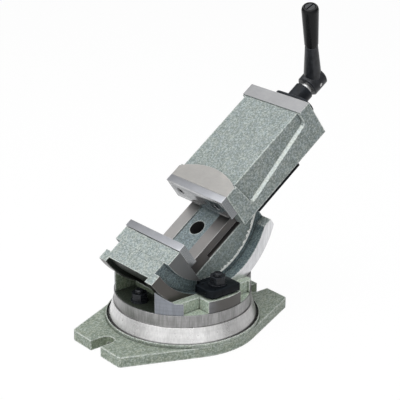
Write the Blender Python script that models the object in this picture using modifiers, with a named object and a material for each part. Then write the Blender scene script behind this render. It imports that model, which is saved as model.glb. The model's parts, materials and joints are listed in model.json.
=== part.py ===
# Tilting machine vise: swivel base, cradle with two tilt clamps, rocker bed, sliding jaw and crank.
# Metres, +Z up. Origin: middle of the base's underside, on the swivel axis. The jaws run along X.
import bpy
import bmesh
import math
from mathutils import Matrix, Vector

# Clearances
SEAT_GAP = 0.0003        # faces that touch on the real vise
HOLE_GAP = 0.0003        # around a screw or pin in its hole

# Base casting
BASE_HALF_LENGTH = 0.1272
EAR_HALF_WIDTH = 0.0449
EAR_THICKNESS = 0.0124
EAR_CORNER_RADIUS = 0.005
U_SLOT_HALF_WIDTH = 0.0095
U_SLOT_DEPTH = 0.0245
FOOT_RADIUS = 0.0920
FOOT_STEP = 0.0042
FOOT_GROOVE_WIDTH = 0.0022
FOOT_GROOVE_DEPTH = 0.0016
CAST_STEP = 0.0003
RING_FOOT_RADIUS = 0.0885
RING_TOP_RADIUS = 0.0829
RING_HEIGHT = 0.0166
KEYWAY_WIDTH = 0.0140
KEYWAY_DEPTH = 0.0045
KEYWAY_START = 0.0780
KEY_SCREW_RADIUS = 0.0025
KEY_SCREW_DEPTH = 0.0060

# Circular tee slot in the base, and the centre pin
BOLT_CIRCLE_RADIUS = 0.0640
BOLT_RADIUS = 0.0050
BOLT_HOLE_CLEARANCE = 0.0005
TEE_HEAD_SIZE = 0.0190
TEE_HEAD_HEIGHT = 0.0070
TEE_SLOT_PLAY = 0.0010
TEE_SLOT_LIP = 0.0078
PIVOT_RADIUS = 0.0140
PIVOT_DEPTH = 0.0160
PIVOT_RISE = 0.0075
PIVOT_CHAMFER = 0.0010

# Swivel plate and cradle
RIM_RADIUS = 0.0814
RIM_HEIGHT = 0.0141
CRADLE_INSET = 0.0009
CHEEK_HEIGHT = 0.0262
LAND_HEIGHT = 0.0146
POCKET_START = 0.0420
POCKET_FLOOR_RISE = 0.0003
NOTCH_START = 0.0237
NOTCH_END = 0.0496
NOTCH_WALL = 0.0098

# Rocker: arc about the tilt axis
TILT_ANGLE = math.radians(35.35)
TILT_AXIS_HEIGHT = 0.1476
FLANGE_RADIUS = 0.1021
FLANGE_DEPTH = 0.0139
FLANGE_HALF_SPAN = 0.0498
FLANGE_THICKNESS = 0.0128
WEB_RELIEF = 0.0061
FLANGE_END_DROP = 0.0363
ROCKER_END = 0.1055
GROOVE_DEPTH = 0.0162
GROOVE_WALL_INSET = 0.0090

# Bed, measured along from the fixed clamping face and up from the rails
AXIS_ALONG = 0.0428
AXIS_UP = 0.03535
BED_HALF_WIDTH = 0.0349
BED_END = 0.1930
BED_THICKNESS = 0.0160
RAIL_WIDTH = 0.0173
RAIL_THICKNESS = 0.0103
CHANNEL_DEPTH = 0.0017
KEEPER_SLOT_START = 0.0200
KEEPER_SLOT_DEPTH = 0.0069
SIDE_WALL_HALF_WIDTH = 0.0360
SIDE_WALL_RADIUS = 0.0822
CORE_HOLE_RADIUS = 0.0097
CORE_HOLE_ALONG = 0.0428
CORE_HOLE_DEPTH = 0.0550
JAW_WIDTH = 0.1000
JAW_TOP = 0.0406
CASTING_TOP = 0.0386
PLATE_THICKNESS = 0.0093
PLATE_HEIGHT = 0.0300
PLATE_SCREW_ACROSS = 0.0334
PLATE_SCREW_UP = 0.0262
PLATE_SCREW_RADIUS = 0.0030
PLATE_SCREW_HEAD_RADIUS = 0.0048
PLATE_SCREW_HEAD_LENGTH = 0.0058
PLATE_SCREW_REACH = 0.0120

# Movable jaw
JAW_OPENING = 0.0650
MOVABLE_LENGTH = 0.1625
PAD_REACH = 0.0375
PAD_ARC_RADIUS = 0.0990
PAD_STEP = 0.0012
REAR_STRIP = 0.0171
SIDE_POCKET_DEPTH = 0.0045
SIDE_POCKET_START = 0.0245
SIDE_POCKET_LEAN = 0.0081
SIDE_POCKET_REAR = 0.1440
SIDE_LEDGE_START_UP = 0.0026
SIDE_LEDGE_END_UP = 0.0220
SIDE_LEDGE_FALL = 0.0017
POCKET_CORNER = 0.0060
HOLLOW_HALF_WIDTH = 0.0200
HOLLOW_TOP = 0.0290
HOLLOW_START = 0.0240
REAR_WALL = 0.0180

# Keeper plates under the jaw
KEEPER_START = 0.0350
KEEPER_LENGTH = 0.0760
KEEPER_THICKNESS = 0.0050
KEEPER_EDGE_INSET = 0.0014
KEEPER_SCREW_RADIUS = 0.0025
KEEPER_SCREW_HEAD_RADIUS = 0.0043
KEEPER_SCREW_HEAD_LENGTH = 0.0023
KEEPER_SCREW_REACH = 0.0110
KEEPER_SCREW_MARGIN = 0.0120

# Lead screw, nut and bearing
SCREW_UP = 0.0138
SCREW_RADIUS = 0.0080
SCREW_TIP = 0.0275
JOURNAL_RADIUS = 0.0100
COLLAR_RADIUS = 0.0122
COLLAR_LENGTH = 0.0075
NUT_START = 0.1120
NUT_LENGTH = 0.0280
NUT_HALF_WIDTH = 0.0150
NUT_TOP = 0.0275
NUT_SCREW_RADIUS = 0.0030
NUT_SCREW_HEAD_RADIUS = 0.0050
NUT_SCREW_HEAD_LENGTH = 0.0060
NUT_SCREW_WALL = 0.0014
NUT_SCREW_INSET = 0.0070
BEARING_HALF_LENGTH = 0.0305
BEARING_HALF_HEIGHT = 0.0124
BEARING_THICKNESS = 0.0120
BOSS_RADIUS = 0.0122
BOSS_LENGTH = 0.0183
BEARING_SCREW_ACROSS = 0.0215

# Crank and grip
HUB_NECK = 0.0054
HUB_RADIUS = 0.0140
HUB_LENGTH = 0.0235
HUB_CHAMFER = 0.0015
CRANK_LEAN = math.radians(14.2)
CRANK_TURN = math.radians(15.8)
ARM_ROOT_RADIUS = 0.0115
ARM_END_RADIUS = 0.0078
GRIP_START = 0.0560
GRIP_END = 0.1135
GRIP_SMALL_RADIUS = 0.0084
GRIP_LARGE_RADIUS = 0.0103
GRIP_DOME = 0.0050
GRIP_BOLT_RADIUS = 0.0040
GRIP_BOLT_HEAD_RADIUS = 0.0065
GRIP_BOLT_HEAD_LENGTH = 0.0032
GRIP_BOLT_THREAD = 0.0140
HUB_PIN_RADIUS = 0.0025

# Tilt clamps
CLAMP_HALF_LENGTH = 0.0220
CLAMP_REACH = 0.0773
CLAMP_THICKNESS = 0.0090
CLAMP_FOOT_HEIGHT = 0.0021
CLAMP_FOOT_INSET = 0.0050
CLAMP_NOSE_HALF_LENGTH = 0.0130
CLAMP_NOSE_CLEARANCE = 0.0012
CLAMP_END_RADIUS = 0.0100
CLAMP_NUT_TURN = math.radians(-17.0)
STUD_ACROSS = 0.0635
STUD_RADIUS = 0.0050
STUD_DEPTH = 0.0180
STUD_STICKOUT = 0.0038

# Nuts and washers
NUT_ACROSS_FLATS = 0.0170
NUT_HEIGHT = 0.0088
NUT_CHAMFER = 0.0010
WASHER_RADIUS = 0.0105
WASHER_THICKNESS = 0.0014

# Facets
FINE_SIDES = 64
ROUND_SIDES = 28
SMALL_SIDES = 16
SCREW_SIDES = 12
NUT_SIDES = 24
CHORD_ERROR = 0.00005

# Levels and places that follow from the sizes above
FOOT_TOP = EAR_THICKNESS + FOOT_STEP
RING_TOP = FOOT_TOP + RING_HEIGHT
SWIVEL_BOTTOM = RING_TOP + SEAT_GAP
RIM_TOP = SWIVEL_BOTTOM + RIM_HEIGHT
CRADLE_RADIUS = RIM_RADIUS - CRADLE_INSET
LAND_TOP = RIM_TOP + LAND_HEIGHT
POCKET_FLOOR = RIM_TOP + POCKET_FLOOR_RISE
TEE_HALF_SLOT = TEE_HEAD_SIZE / 2 + TEE_SLOT_PLAY
TEE_CEILING = RING_TOP - TEE_SLOT_LIP
TEE_FLOOR = TEE_CEILING - TEE_HEAD_HEIGHT - TEE_SLOT_PLAY
LEDGE_RADIUS = FLANGE_RADIUS - FLANGE_DEPTH
BLOCK_RADIUS = LEDGE_RADIUS - GROOVE_DEPTH
WEB_RADIUS = FLANGE_RADIUS - WEB_RELIEF
SEAT_RADIUS = FLANGE_RADIUS + SEAT_GAP
FLANGE_WALL = FLANGE_HALF_SPAN + SEAT_GAP
JAW_HALF_WIDTH = JAW_WIDTH / 2
CASTING_FACE = PLATE_THICKNESS + SEAT_GAP
PLATE_BOTTOM = JAW_TOP - PLATE_HEIGHT
STRIP_START = MOVABLE_LENGTH - REAR_STRIP
HOLLOW_END = MOVABLE_LENGTH - REAR_WALL
SKIRT_BOTTOM = -RAIL_THICKNESS
BEARING_FACE = MOVABLE_LENGTH + SEAT_GAP
BOSS_END = BEARING_FACE + BEARING_THICKNESS + BOSS_LENGTH
NUT_SCREW_REACH = SCREW_UP - SCREW_RADIUS - NUT_SCREW_WALL
HUB_START = BOSS_END + HUB_NECK
HUB_CENTRE = HUB_START + HUB_LENGTH / 2
HUB_END = HUB_START + HUB_LENGTH
CLAMP_BOTTOM = LAND_TOP + CLAMP_FOOT_HEIGHT + SEAT_GAP
CLAMP_TOP = CLAMP_BOTTOM + CLAMP_THICKNESS


# Start from an empty scene
for old in list(bpy.data.objects):
    bpy.data.objects.remove(old, do_unlink=True)
PARTS = bpy.data.collections.new("tilting_machine_vise")
CUTTERS = bpy.data.collections.new("cutters")
bpy.context.scene.collection.children.link(PARTS)
bpy.context.scene.collection.children.link(CUTTERS)


# Finishes
def finish(name, colour, roughness, metallic):
    material = bpy.data.materials.new(name)
    material.use_nodes = True
    shader = material.node_tree.nodes["Principled BSDF"]
    shader.inputs["Base Color"].default_value = (*colour, 1.0)
    shader.inputs["Roughness"].default_value = roughness
    shader.inputs["Metallic"].default_value = metallic
    return material


ENAMEL = finish("grey_green_enamel", (0.36, 0.42, 0.37), 0.45, 0.0)
GROUND = finish("ground_steel", (0.62, 0.60, 0.58), 0.30, 1.0)
BLACK = finish("blackened_steel", (0.02, 0.022, 0.026), 0.40, 0.6)
BRIGHT = finish("bright_steel", (0.55, 0.55, 0.55), 0.28, 1.0)
BRONZE = finish("nut_bronze", (0.52, 0.36, 0.17), 0.40, 1.0)
PLASTIC = finish("black_plastic", (0.012, 0.012, 0.013), 0.22, 0.0)


# Frames: empties that carry the moving pieces
def frame(name, place, parent=None):
    empty = bpy.data.objects.new(name, None)
    empty.empty_display_size = 0.02
    PARTS.objects.link(empty)
    empty.parent = parent
    empty.matrix_basis = place
    return empty


def moved(along, across, up):
    return Matrix.Translation((along, across, up))


def turned_about(axis, angle):
    return Matrix.Rotation(angle, 4, axis)


def other_side(side):
    """Half a turn about Z for the side at -1."""
    return Matrix.Diagonal((side, side, 1, 1))


SWIVEL_AXIS = frame("swivel_axis", Matrix.Identity(4))
TILT_AXIS = frame("tilt_axis", moved(0, 0, TILT_AXIS_HEIGHT) @ turned_about("Y", -TILT_ANGLE), SWIVEL_AXIS)
BED_FRAME = frame("bed_frame", moved(-AXIS_ALONG, 0, -AXIS_UP), TILT_AXIS)
JAW_SLIDE = frame("jaw_slide", moved(JAW_OPENING, 0, 0), BED_FRAME)
SCREW_AXIS = frame("screw_axis", moved(0, 0, SCREW_UP) @ turned_about("Y", math.pi / 2), JAW_SLIDE)
ARM_DIRECTION = turned_about("Z", CRANK_TURN) @ turned_about("Y", CRANK_LEAN - math.pi / 2)
PIN_DIRECTION = turned_about("Z", CRANK_TURN) @ turned_about("X", math.pi / 2)
CRANK_AXIS = frame("crank_axis", moved(0, 0, HUB_CENTRE) @ ARM_DIRECTION, SCREW_AXIS)


# Solids
def as_object(name, geometry, material, parent, place, collection):
    mesh = bpy.data.meshes.new(name)
    geometry.to_mesh(mesh)
    geometry.free()
    mesh.materials.append(material)
    obj = bpy.data.objects.new(name, mesh)
    collection.objects.link(obj)
    obj.parent = parent
    obj.matrix_basis = place
    if collection is CUTTERS:
        obj.hide_render = True
        obj.display_type = "WIRE"
    return obj


class Maker:
    """Makes solids for one piece: the piece itself, or tools that are cut from it or joined to it."""

    def __init__(self, material, parent=None, place=Matrix.Identity(4), solver="EXACT"):
        self.material = material
        self.parent = parent
        self.place = place
        self.solver = solver
        self.body = None

    def add(self, name, geometry, place, collection):
        return as_object(name, geometry, self.material, self.parent, self.place @ place, collection)

    def start(self, name, geometry, place=Matrix.Identity(4)):
        self.body = self.add(name, geometry, place, PARTS)
        return self

    def tool(self, operation, geometry, place):
        count = len(self.body.modifiers) + 1
        tool = self.add(f"{self.body.name}_tool_{count}", geometry, place, CUTTERS)
        modifier = self.body.modifiers.new(f"{operation.lower()}_{count}", "BOOLEAN")
        modifier.operation = operation
        modifier.solver = self.solver
        modifier.object = tool
        return self

    def cut(self, geometry, place=Matrix.Identity(4)):
        return self.tool("DIFFERENCE", geometry, place)

    def join(self, geometry, place=Matrix.Identity(4)):
        return self.tool("UNION", geometry, place)

    def smooth(self, degrees=30.0):
        self.body.data.shade_smooth()
        self.body.data.set_sharp_from_angle(angle=math.radians(degrees))
        return self.body


def block(along, across, up):
    """A box between three pairs of limits."""
    geometry = bmesh.new()
    bmesh.ops.create_cube(geometry, size=1.0)
    for vertex in geometry.verts:
        for axis, (low, high) in enumerate((along, across, up)):
            vertex.co[axis] = low if vertex.co[axis] < 0 else high
    return geometry


def rod(radius, low, high, sides=SMALL_SIDES, end_radius=None):
    """A cylinder or cone along Z."""
    geometry = bmesh.new()
    top = radius if end_radius is None else end_radius
    middle = Matrix.Translation((0, 0, (low + high) / 2))
    bmesh.ops.create_cone(geometry, cap_ends=True, segments=sides, radius1=radius, radius2=top,
                          depth=high - low, matrix=middle)
    return geometry


def evaluated_geometry(obj):
    """The mesh that an object makes, welded, with the object removed."""
    CUTTERS.objects.link(obj)
    graph = bpy.context.evaluated_depsgraph_get()
    mesh = bpy.data.meshes.new_from_object(obj.evaluated_get(graph))
    geometry = bmesh.new()
    geometry.from_mesh(mesh)
    bmesh.ops.remove_doubles(geometry, verts=geometry.verts, dist=0.000002)
    bpy.data.objects.remove(obj, do_unlink=True)
    bpy.data.meshes.remove(mesh)
    return geometry


def lathe(profile, sides=ROUND_SIDES):
    """A turned solid about Z: the profile runs from the top to the bottom of its outer side."""
    mesh = bpy.data.meshes.new("profile")
    points = [(radius, 0, height) for radius, height in profile]
    edges = [(index, index + 1) for index in range(len(points) - 1)]
    if profile[0][0] > 0:
        edges.append((len(points) - 1, 0))
    mesh.from_pydata(points, edges, [])
    obj = bpy.data.objects.new("profile", mesh)
    screw = obj.modifiers.new("turn", "SCREW")
    screw.steps = sides
    screw.render_steps = sides
    screw.use_merge_vertices = True
    screw.merge_threshold = 0.000002
    return evaluated_geometry(obj)


def plate(outline, low, high):
    """A flat outline with thickness along Z."""
    curve = bpy.data.curves.new("outline", "CURVE")
    curve.dimensions = "2D"
    curve.fill_mode = "BOTH"
    curve.extrude = (high - low) / 2
    spline = curve.splines.new("POLY")
    spline.points.add(len(outline) - 1)
    for point, (x, y) in zip(spline.points, outline):
        point.co = (x, y, 0, 1)
    spline.use_cyclic_u = True
    geometry = evaluated_geometry(bpy.data.objects.new("outline", curve))
    bmesh.ops.translate(geometry, verts=geometry.verts, vec=(0, 0, (low + high) / 2))
    bmesh.ops.recalc_face_normals(geometry, faces=geometry.faces)
    return geometry


def slab(outline, half_width, start=None):
    """An outline in the along and up directions, with width across: both sides, or from start to the left."""
    high = half_width if start is None else -start
    geometry = plate(outline, -half_width, high)
    for vertex in geometry.verts:
        along, up, across = vertex.co
        vertex.co = (along, -across, up)
    return geometry


def arc(centre, radius, start, end):
    """Points on an arc from start to end angle, close enough that no chord strays from it."""
    step = 2 * math.acos(1 - CHORD_ERROR / radius)
    count = max(1, math.ceil(abs(end - start) / step - 0.000001))
    angles = [start + (end - start) * index / count for index in range(count + 1)]
    return [(centre[0] + radius * math.cos(a), centre[1] + radius * math.sin(a)) for a in angles]


def rounded(corners, radius):
    """A closed outline of straight sides with each corner rounded."""
    points = []
    for index, corner in enumerate(corners):
        here = Vector(corner)
        back = (Vector(corners[index - 1]) - here).normalized()
        ahead = (Vector(corners[(index + 1) % len(corners)]) - here).normalized()
        half = back.angle(ahead) / 2
        centre = here + (back + ahead).normalized() * (radius / math.sin(half))
        first = here + back * (radius / math.tan(half))
        last = here + ahead * (radius / math.tan(half))
        for step in range(5):
            spoke = (first - centre).slerp(last - centre, step / 4, first - centre)
            points.append(tuple(centre + spoke.normalized() * radius))
    return points


def hexagon(across_flats, turn=0.0):
    corner = across_flats / math.sqrt(3)
    return [(corner * math.cos(turn + math.pi * k / 3), corner * math.sin(turn + math.pi * k / 3))
            for k in range(6)]


def screw_head_profile(head_radius, head_length, radius, reach):
    """Head on top at Z = 0 and down to the tip of the shank."""
    tip = -head_length - reach
    head = [(0, 0), (head_radius, 0), (head_radius, -head_length)]
    return head + [(radius, -head_length), (radius, tip), (0, tip)]


def finished_geometry(maker):
    """The solid that a maker's modifiers give, with its working objects removed."""
    bpy.context.view_layer.update()
    graph = bpy.context.evaluated_depsgraph_get()
    mesh = bpy.data.meshes.new_from_object(maker.body.evaluated_get(graph))
    geometry = bmesh.new()
    geometry.from_mesh(mesh)
    for modifier in maker.body.modifiers:
        bpy.data.objects.remove(modifier.object, do_unlink=True)
    bpy.data.objects.remove(maker.body, do_unlink=True)
    bpy.data.meshes.remove(mesh)
    return geometry


def copies(material, parent, geometry, places, smooth=True):
    """One named piece at each place, all of the same shape."""
    for name, place in places.items():
        maker = Maker(material, parent, place)
        maker.start(name, geometry.copy())
        if smooth:
            maker.smooth()
    geometry.free()


def socket_screw(head_radius, head_length, radius, reach):
    """A cap screw with a hexagon socket, made as one solid before it is copied."""
    maker = Maker(BLACK)
    profile = screw_head_profile(head_radius, head_length, radius, reach)
    maker.start("socket_screw", lathe(profile, SCREW_SIDES))
    maker.cut(plate(hexagon(head_radius), -head_length * 0.55, head_length))
    return finished_geometry(maker)


def facing(direction, place):
    """Turns a screw made along -Z so that its head faces a direction, and puts it in place."""
    turn = Vector((0, 0, 1)).rotation_difference(Vector(direction)).to_matrix().to_4x4()
    return Matrix.Translation(place) @ turn


# Base casting
def base_outline():
    """Two straight ears whose sides run tangent to the round foot."""
    corner = Vector((BASE_HALF_LENGTH, EAR_HALF_WIDTH))
    bearing = math.atan2(corner.y, corner.x) + math.acos(FOOT_RADIUS / corner.length)
    tangent = (FOOT_RADIUS * math.cos(bearing), FOOT_RADIUS * math.sin(bearing))
    right = rounded([(corner.x, -corner.y), (corner.x, corner.y), tangent, (tangent[0], -tangent[1])],
                    EAR_CORNER_RADIUS)[:10]
    left = [(-x, -y) for x, y in right]
    back = arc((0, 0), FOOT_RADIUS, bearing, math.pi - bearing)
    front = arc((0, 0), FOOT_RADIUS, math.pi + bearing, 2 * math.pi - bearing)
    return right + back + left + front


def base_plate():
    pivot_floor = RING_TOP - PIVOT_DEPTH
    groove_outer = RING_FOOT_RADIUS + FOOT_GROOVE_WIDTH
    groove_floor = FOOT_TOP - FOOT_GROOVE_DEPTH
    throat = BOLT_RADIUS + BOLT_HOLE_CLEARANCE
    bolt = BOLT_CIRCLE_RADIUS
    foot = FOOT_RADIUS - CAST_STEP
    profile = [
        (0, pivot_floor), (PIVOT_RADIUS + HOLE_GAP, pivot_floor), (PIVOT_RADIUS + HOLE_GAP, RING_TOP),
        (bolt - throat, RING_TOP), (bolt - throat, TEE_CEILING), (bolt - TEE_HALF_SLOT, TEE_CEILING),
        (bolt - TEE_HALF_SLOT, TEE_FLOOR), (bolt + TEE_HALF_SLOT, TEE_FLOOR),
        (bolt + TEE_HALF_SLOT, TEE_CEILING), (bolt + throat, TEE_CEILING), (bolt + throat, RING_TOP),
        (RING_TOP_RADIUS, RING_TOP), (RING_FOOT_RADIUS, groove_floor), (groove_outer, groove_floor),
        (groove_outer, FOOT_TOP), (foot, FOOT_TOP), (foot, EAR_THICKNESS / 2), (0, EAR_THICKNESS / 2)]
    maker = Maker(ENAMEL, solver="MANIFOLD")
    maker.start("base_plate", lathe(profile, FINE_SIDES))
    maker.join(plate(base_outline(), 0, EAR_THICKNESS))
    slot_centre = BASE_HALF_LENGTH - U_SLOT_DEPTH + U_SLOT_HALF_WIDTH
    for side in (1, -1):
        facing_side = other_side(side)
        slot = arc((slot_centre, 0), U_SLOT_HALF_WIDTH, math.pi / 2, 3 * math.pi / 2)
        slot += [(BASE_HALF_LENGTH * 1.1, -U_SLOT_HALF_WIDTH), (BASE_HALF_LENGTH * 1.1, U_SLOT_HALF_WIDTH)]
        maker.cut(plate(slot, -EAR_THICKNESS, 2 * EAR_THICKNESS), facing_side)
        across = (-KEYWAY_WIDTH / 2, KEYWAY_WIDTH / 2)
        maker.cut(block((KEYWAY_START, slot_centre), across, (-KEYWAY_DEPTH, KEYWAY_DEPTH)), facing_side)
        key_screw = moved(KEYWAY_START + KEYWAY_WIDTH / 2, 0, 0)
        maker.cut(rod(KEY_SCREW_RADIUS, 0, KEYWAY_DEPTH + KEY_SCREW_DEPTH, 12), facing_side @ key_screw)
    entry = rod(TEE_HALF_SLOT, TEE_FLOOR + TEE_SLOT_PLAY, RING_TOP + TEE_SLOT_LIP, ROUND_SIDES)
    maker.cut(entry, moved(0, BOLT_CIRCLE_RADIUS, 0))
    maker.smooth()


def pivot_pin():
    low = RING_TOP - PIVOT_DEPTH + SEAT_GAP
    high = RING_TOP + PIVOT_RISE
    profile = [(0, high), (PIVOT_RADIUS - PIVOT_CHAMFER, high), (PIVOT_RADIUS, high - PIVOT_CHAMFER),
               (PIVOT_RADIUS, low + PIVOT_CHAMFER), (PIVOT_RADIUS - PIVOT_CHAMFER, low), (0, low)]
    Maker(BRIGHT).start("pivot_pin", lathe(profile)).smooth()


# Swivel plate with its cradle
def swivel_plate():
    cheek_top = RIM_TOP + CHEEK_HEIGHT
    bore = PIVOT_RADIUS + HOLE_GAP
    bore_top = RING_TOP + PIVOT_RISE + 2 * SEAT_GAP
    profile = [(0, cheek_top), (CRADLE_RADIUS, cheek_top), (CRADLE_RADIUS, RIM_TOP), (RIM_RADIUS, RIM_TOP),
               (RIM_RADIUS, SWIVEL_BOTTOM), (bore, SWIVEL_BOTTOM), (bore, bore_top), (0, bore_top)]
    maker = Maker(ENAMEL, SWIVEL_AXIS)
    maker.start("swivel_plate", lathe(profile, FINE_SIDES))
    centre = (0, TILT_AXIS_HEIGHT)
    seat = arc(centre, SEAT_RADIUS, -math.pi, 0)
    maker.cut(slab(seat, FLANGE_WALL))
    shoulder = SEAT_RADIUS + SEAT_GAP
    chord = math.acos((TILT_AXIS_HEIGHT - LAND_TOP) / shoulder)
    above = arc(centre, shoulder, -math.pi, -math.pi / 2 - chord)
    above += arc(centre, shoulder, -math.pi / 2 + chord, 0)
    maker.cut(slab(above, RIM_RADIUS))
    pocket_half_width = FLANGE_HALF_SPAN - FLANGE_THICKNESS + 2 * SEAT_GAP
    notch_wall = FLANGE_WALL + NOTCH_WALL
    for side in (1, -1):
        turn = other_side(side)
        across = (-pocket_half_width, pocket_half_width)
        maker.cut(block((POCKET_START, RIM_RADIUS), across, (POCKET_FLOOR, cheek_top * 1.1)), turn)
        hole = rod(BOLT_RADIUS + BOLT_HOLE_CLEARANCE, RING_TOP - SEAT_GAP, cheek_top, SMALL_SIDES)
        maker.cut(hole, moved(side * BOLT_CIRCLE_RADIUS, 0, 0))
        for end in (1, -1):
            along = sorted((end * NOTCH_START, end * NOTCH_END))
            notch = along, (notch_wall, RIM_RADIUS), (POCKET_FLOOR, cheek_top * 1.1)
            maker.cut(block(*notch), turn)
        stud_hole = rod(STUD_RADIUS + HOLE_GAP, LAND_TOP - STUD_DEPTH - SEAT_GAP, cheek_top)
        maker.cut(stud_hole, moved(0, side * STUD_ACROSS, 0))
    maker.smooth()


def hex_nut():
    """A nut that stands on Z = 0: a hexagon with its corners turned down at the top, and a bore."""
    maker = Maker(BLACK)
    maker.start("nut", plate(hexagon(NUT_ACROSS_FLATS), 0, NUT_HEIGHT))
    crown = NUT_ACROSS_FLATS / 2
    past = NUT_ACROSS_FLATS / math.sqrt(3) + NUT_CHAMFER
    profile = [(0, NUT_HEIGHT + NUT_CHAMFER), (crown - NUT_CHAMFER, NUT_HEIGHT + NUT_CHAMFER),
               (past, NUT_HEIGHT - NUT_CHAMFER), (past, -NUT_CHAMFER), (0, -NUT_CHAMFER)]
    half_facet = turned_about("Z", math.pi / NUT_SIDES)
    maker.tool("INTERSECT", lathe(profile, NUT_SIDES), half_facet)
    maker.cut(rod(STUD_RADIUS + HOLE_GAP, -NUT_HEIGHT, 2 * NUT_HEIGHT))
    return finished_geometry(maker)


def washer():
    bore = STUD_RADIUS + HOLE_GAP
    profile = [(bore, WASHER_THICKNESS), (WASHER_RADIUS, WASHER_THICKNESS), (WASHER_RADIUS, 0), (bore, 0)]
    return lathe(profile, ROUND_SIDES)


def swivel_fasteners():
    places = {"front": -BOLT_CIRCLE_RADIUS, "rear": BOLT_CIRCLE_RADIUS}
    washer_level = POCKET_FLOOR + SEAT_GAP
    nut_level = washer_level + WASHER_THICKNESS + SEAT_GAP
    top = nut_level + NUT_HEIGHT + STUD_STICKOUT
    head_top = TEE_CEILING - SEAT_GAP
    half = TEE_HEAD_SIZE / 2
    for end, along in places.items():
        maker = Maker(BLACK, SWIVEL_AXIS, moved(along, 0, 0))
        head = block((-half, half), (-half, half), (head_top - TEE_HEAD_HEIGHT, head_top))
        maker.start(f"tee_bolt_{end}", head)
        maker.join(rod(BOLT_RADIUS, head_top - TEE_HEAD_HEIGHT / 2, top))
        maker.smooth()
    copies(BLACK, SWIVEL_AXIS, washer(),
           {f"swivel_washer_{end}": moved(along, 0, washer_level) for end, along in places.items()})
    copies(BLACK, SWIVEL_AXIS, hex_nut(),
           {f"swivel_nut_{end}": moved(along, 0, nut_level) for end, along in places.items()}, smooth=False)


# Tilt clamps, one each side of the rocker
def clamp_outline():
    inner = FLANGE_HALF_SPAN + SEAT_GAP
    radius = CLAMP_END_RADIUS
    round_end = arc((CLAMP_HALF_LENGTH - radius, CLAMP_REACH - radius), radius, 0, math.pi / 2)
    square_end = [(-CLAMP_HALF_LENGTH, CLAMP_REACH), (-CLAMP_HALF_LENGTH, inner)]
    return [(CLAMP_HALF_LENGTH, inner), *round_end, *square_end]


def tilt_clamp(name, side):
    mirror = other_side(side)
    maker = Maker(BLACK, SWIVEL_AXIS, mirror)
    maker.start(name, plate(clamp_outline(), CLAMP_BOTTOM, CLAMP_TOP))
    foot_half = CLAMP_HALF_LENGTH - CLAMP_FOOT_INSET
    foot = ((-foot_half, foot_half), (FLANGE_WALL + CLAMP_FOOT_INSET, CLAMP_REACH - CLAMP_FOOT_INSET / 2),
            (LAND_TOP + SEAT_GAP, CLAMP_BOTTOM + CLAMP_THICKNESS / 2))
    maker.join(block(*foot))
    groove_wall = JAW_HALF_WIDTH - GROOVE_WALL_INSET + CLAMP_NOSE_CLEARANCE
    nose = ((-CLAMP_NOSE_HALF_LENGTH, CLAMP_NOSE_HALF_LENGTH), (groove_wall, FLANGE_HALF_SPAN - SEAT_GAP),
            (CLAMP_BOTTOM - CLAMP_THICKNESS, CLAMP_TOP - SEAT_GAP))
    maker.join(block(*nose))
    root_half = CLAMP_NOSE_HALF_LENGTH - SEAT_GAP
    root = ((-root_half, root_half), (groove_wall + CLAMP_FOOT_INSET, FLANGE_WALL + CLAMP_FOOT_INSET),
            (CLAMP_BOTTOM + SEAT_GAP, CLAMP_TOP - 2 * SEAT_GAP))
    maker.join(block(*root))
    ledge = TILT_AXIS_HEIGHT, LEDGE_RADIUS - SEAT_GAP
    centre = (0, ledge[0])
    ring = arc(centre, ledge[1], -math.pi, 0) + arc(centre, SEAT_RADIUS, 0, -math.pi)
    maker.cut(slab(ring, FLANGE_WALL))
    maker.cut(rod(STUD_RADIUS + HOLE_GAP, LAND_TOP, CLAMP_TOP + CLAMP_THICKNESS), moved(0, STUD_ACROSS, 0))
    maker.smooth()


def clamp_fasteners():
    places = {"right": -STUD_ACROSS, "left": STUD_ACROSS}
    washer_level = CLAMP_TOP + SEAT_GAP
    nut_level = washer_level + WASHER_THICKNESS + SEAT_GAP
    top = nut_level + NUT_HEIGHT + STUD_STICKOUT
    bottom = LAND_TOP - STUD_DEPTH
    edge = STUD_RADIUS * 0.15
    profile = [(0, top), (STUD_RADIUS - edge, top), (STUD_RADIUS, top - edge), (STUD_RADIUS, bottom),
               (0, bottom)]
    copies(BLACK, SWIVEL_AXIS, lathe(profile, SMALL_SIDES),
           {f"clamp_stud_{side}": moved(0, across, 0) for side, across in places.items()})
    copies(BLACK, SWIVEL_AXIS, washer(),
           {f"clamp_washer_{side}": moved(0, across, washer_level) for side, across in places.items()})
    copies(BLACK, SWIVEL_AXIS, hex_nut(),
           {f"clamp_nut_{side}": moved(0, across, nut_level) @ turned_about("Z", CLAMP_NUT_TURN)
            for side, across in places.items()}, smooth=False)


# Rocker bed with the fixed jaw, one casting
def arc_between(radius, first, last):
    """Arc about the tilt axis in bed coordinates, between two angles."""
    return arc((AXIS_ALONG, AXIS_UP), radius, first, last)


def angle_at_along(radius, along):
    return -math.acos((along - AXIS_ALONG) / radius)


def angle_at_up(radius, up):
    return -math.pi - math.asin((up - AXIS_UP) / radius)


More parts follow.
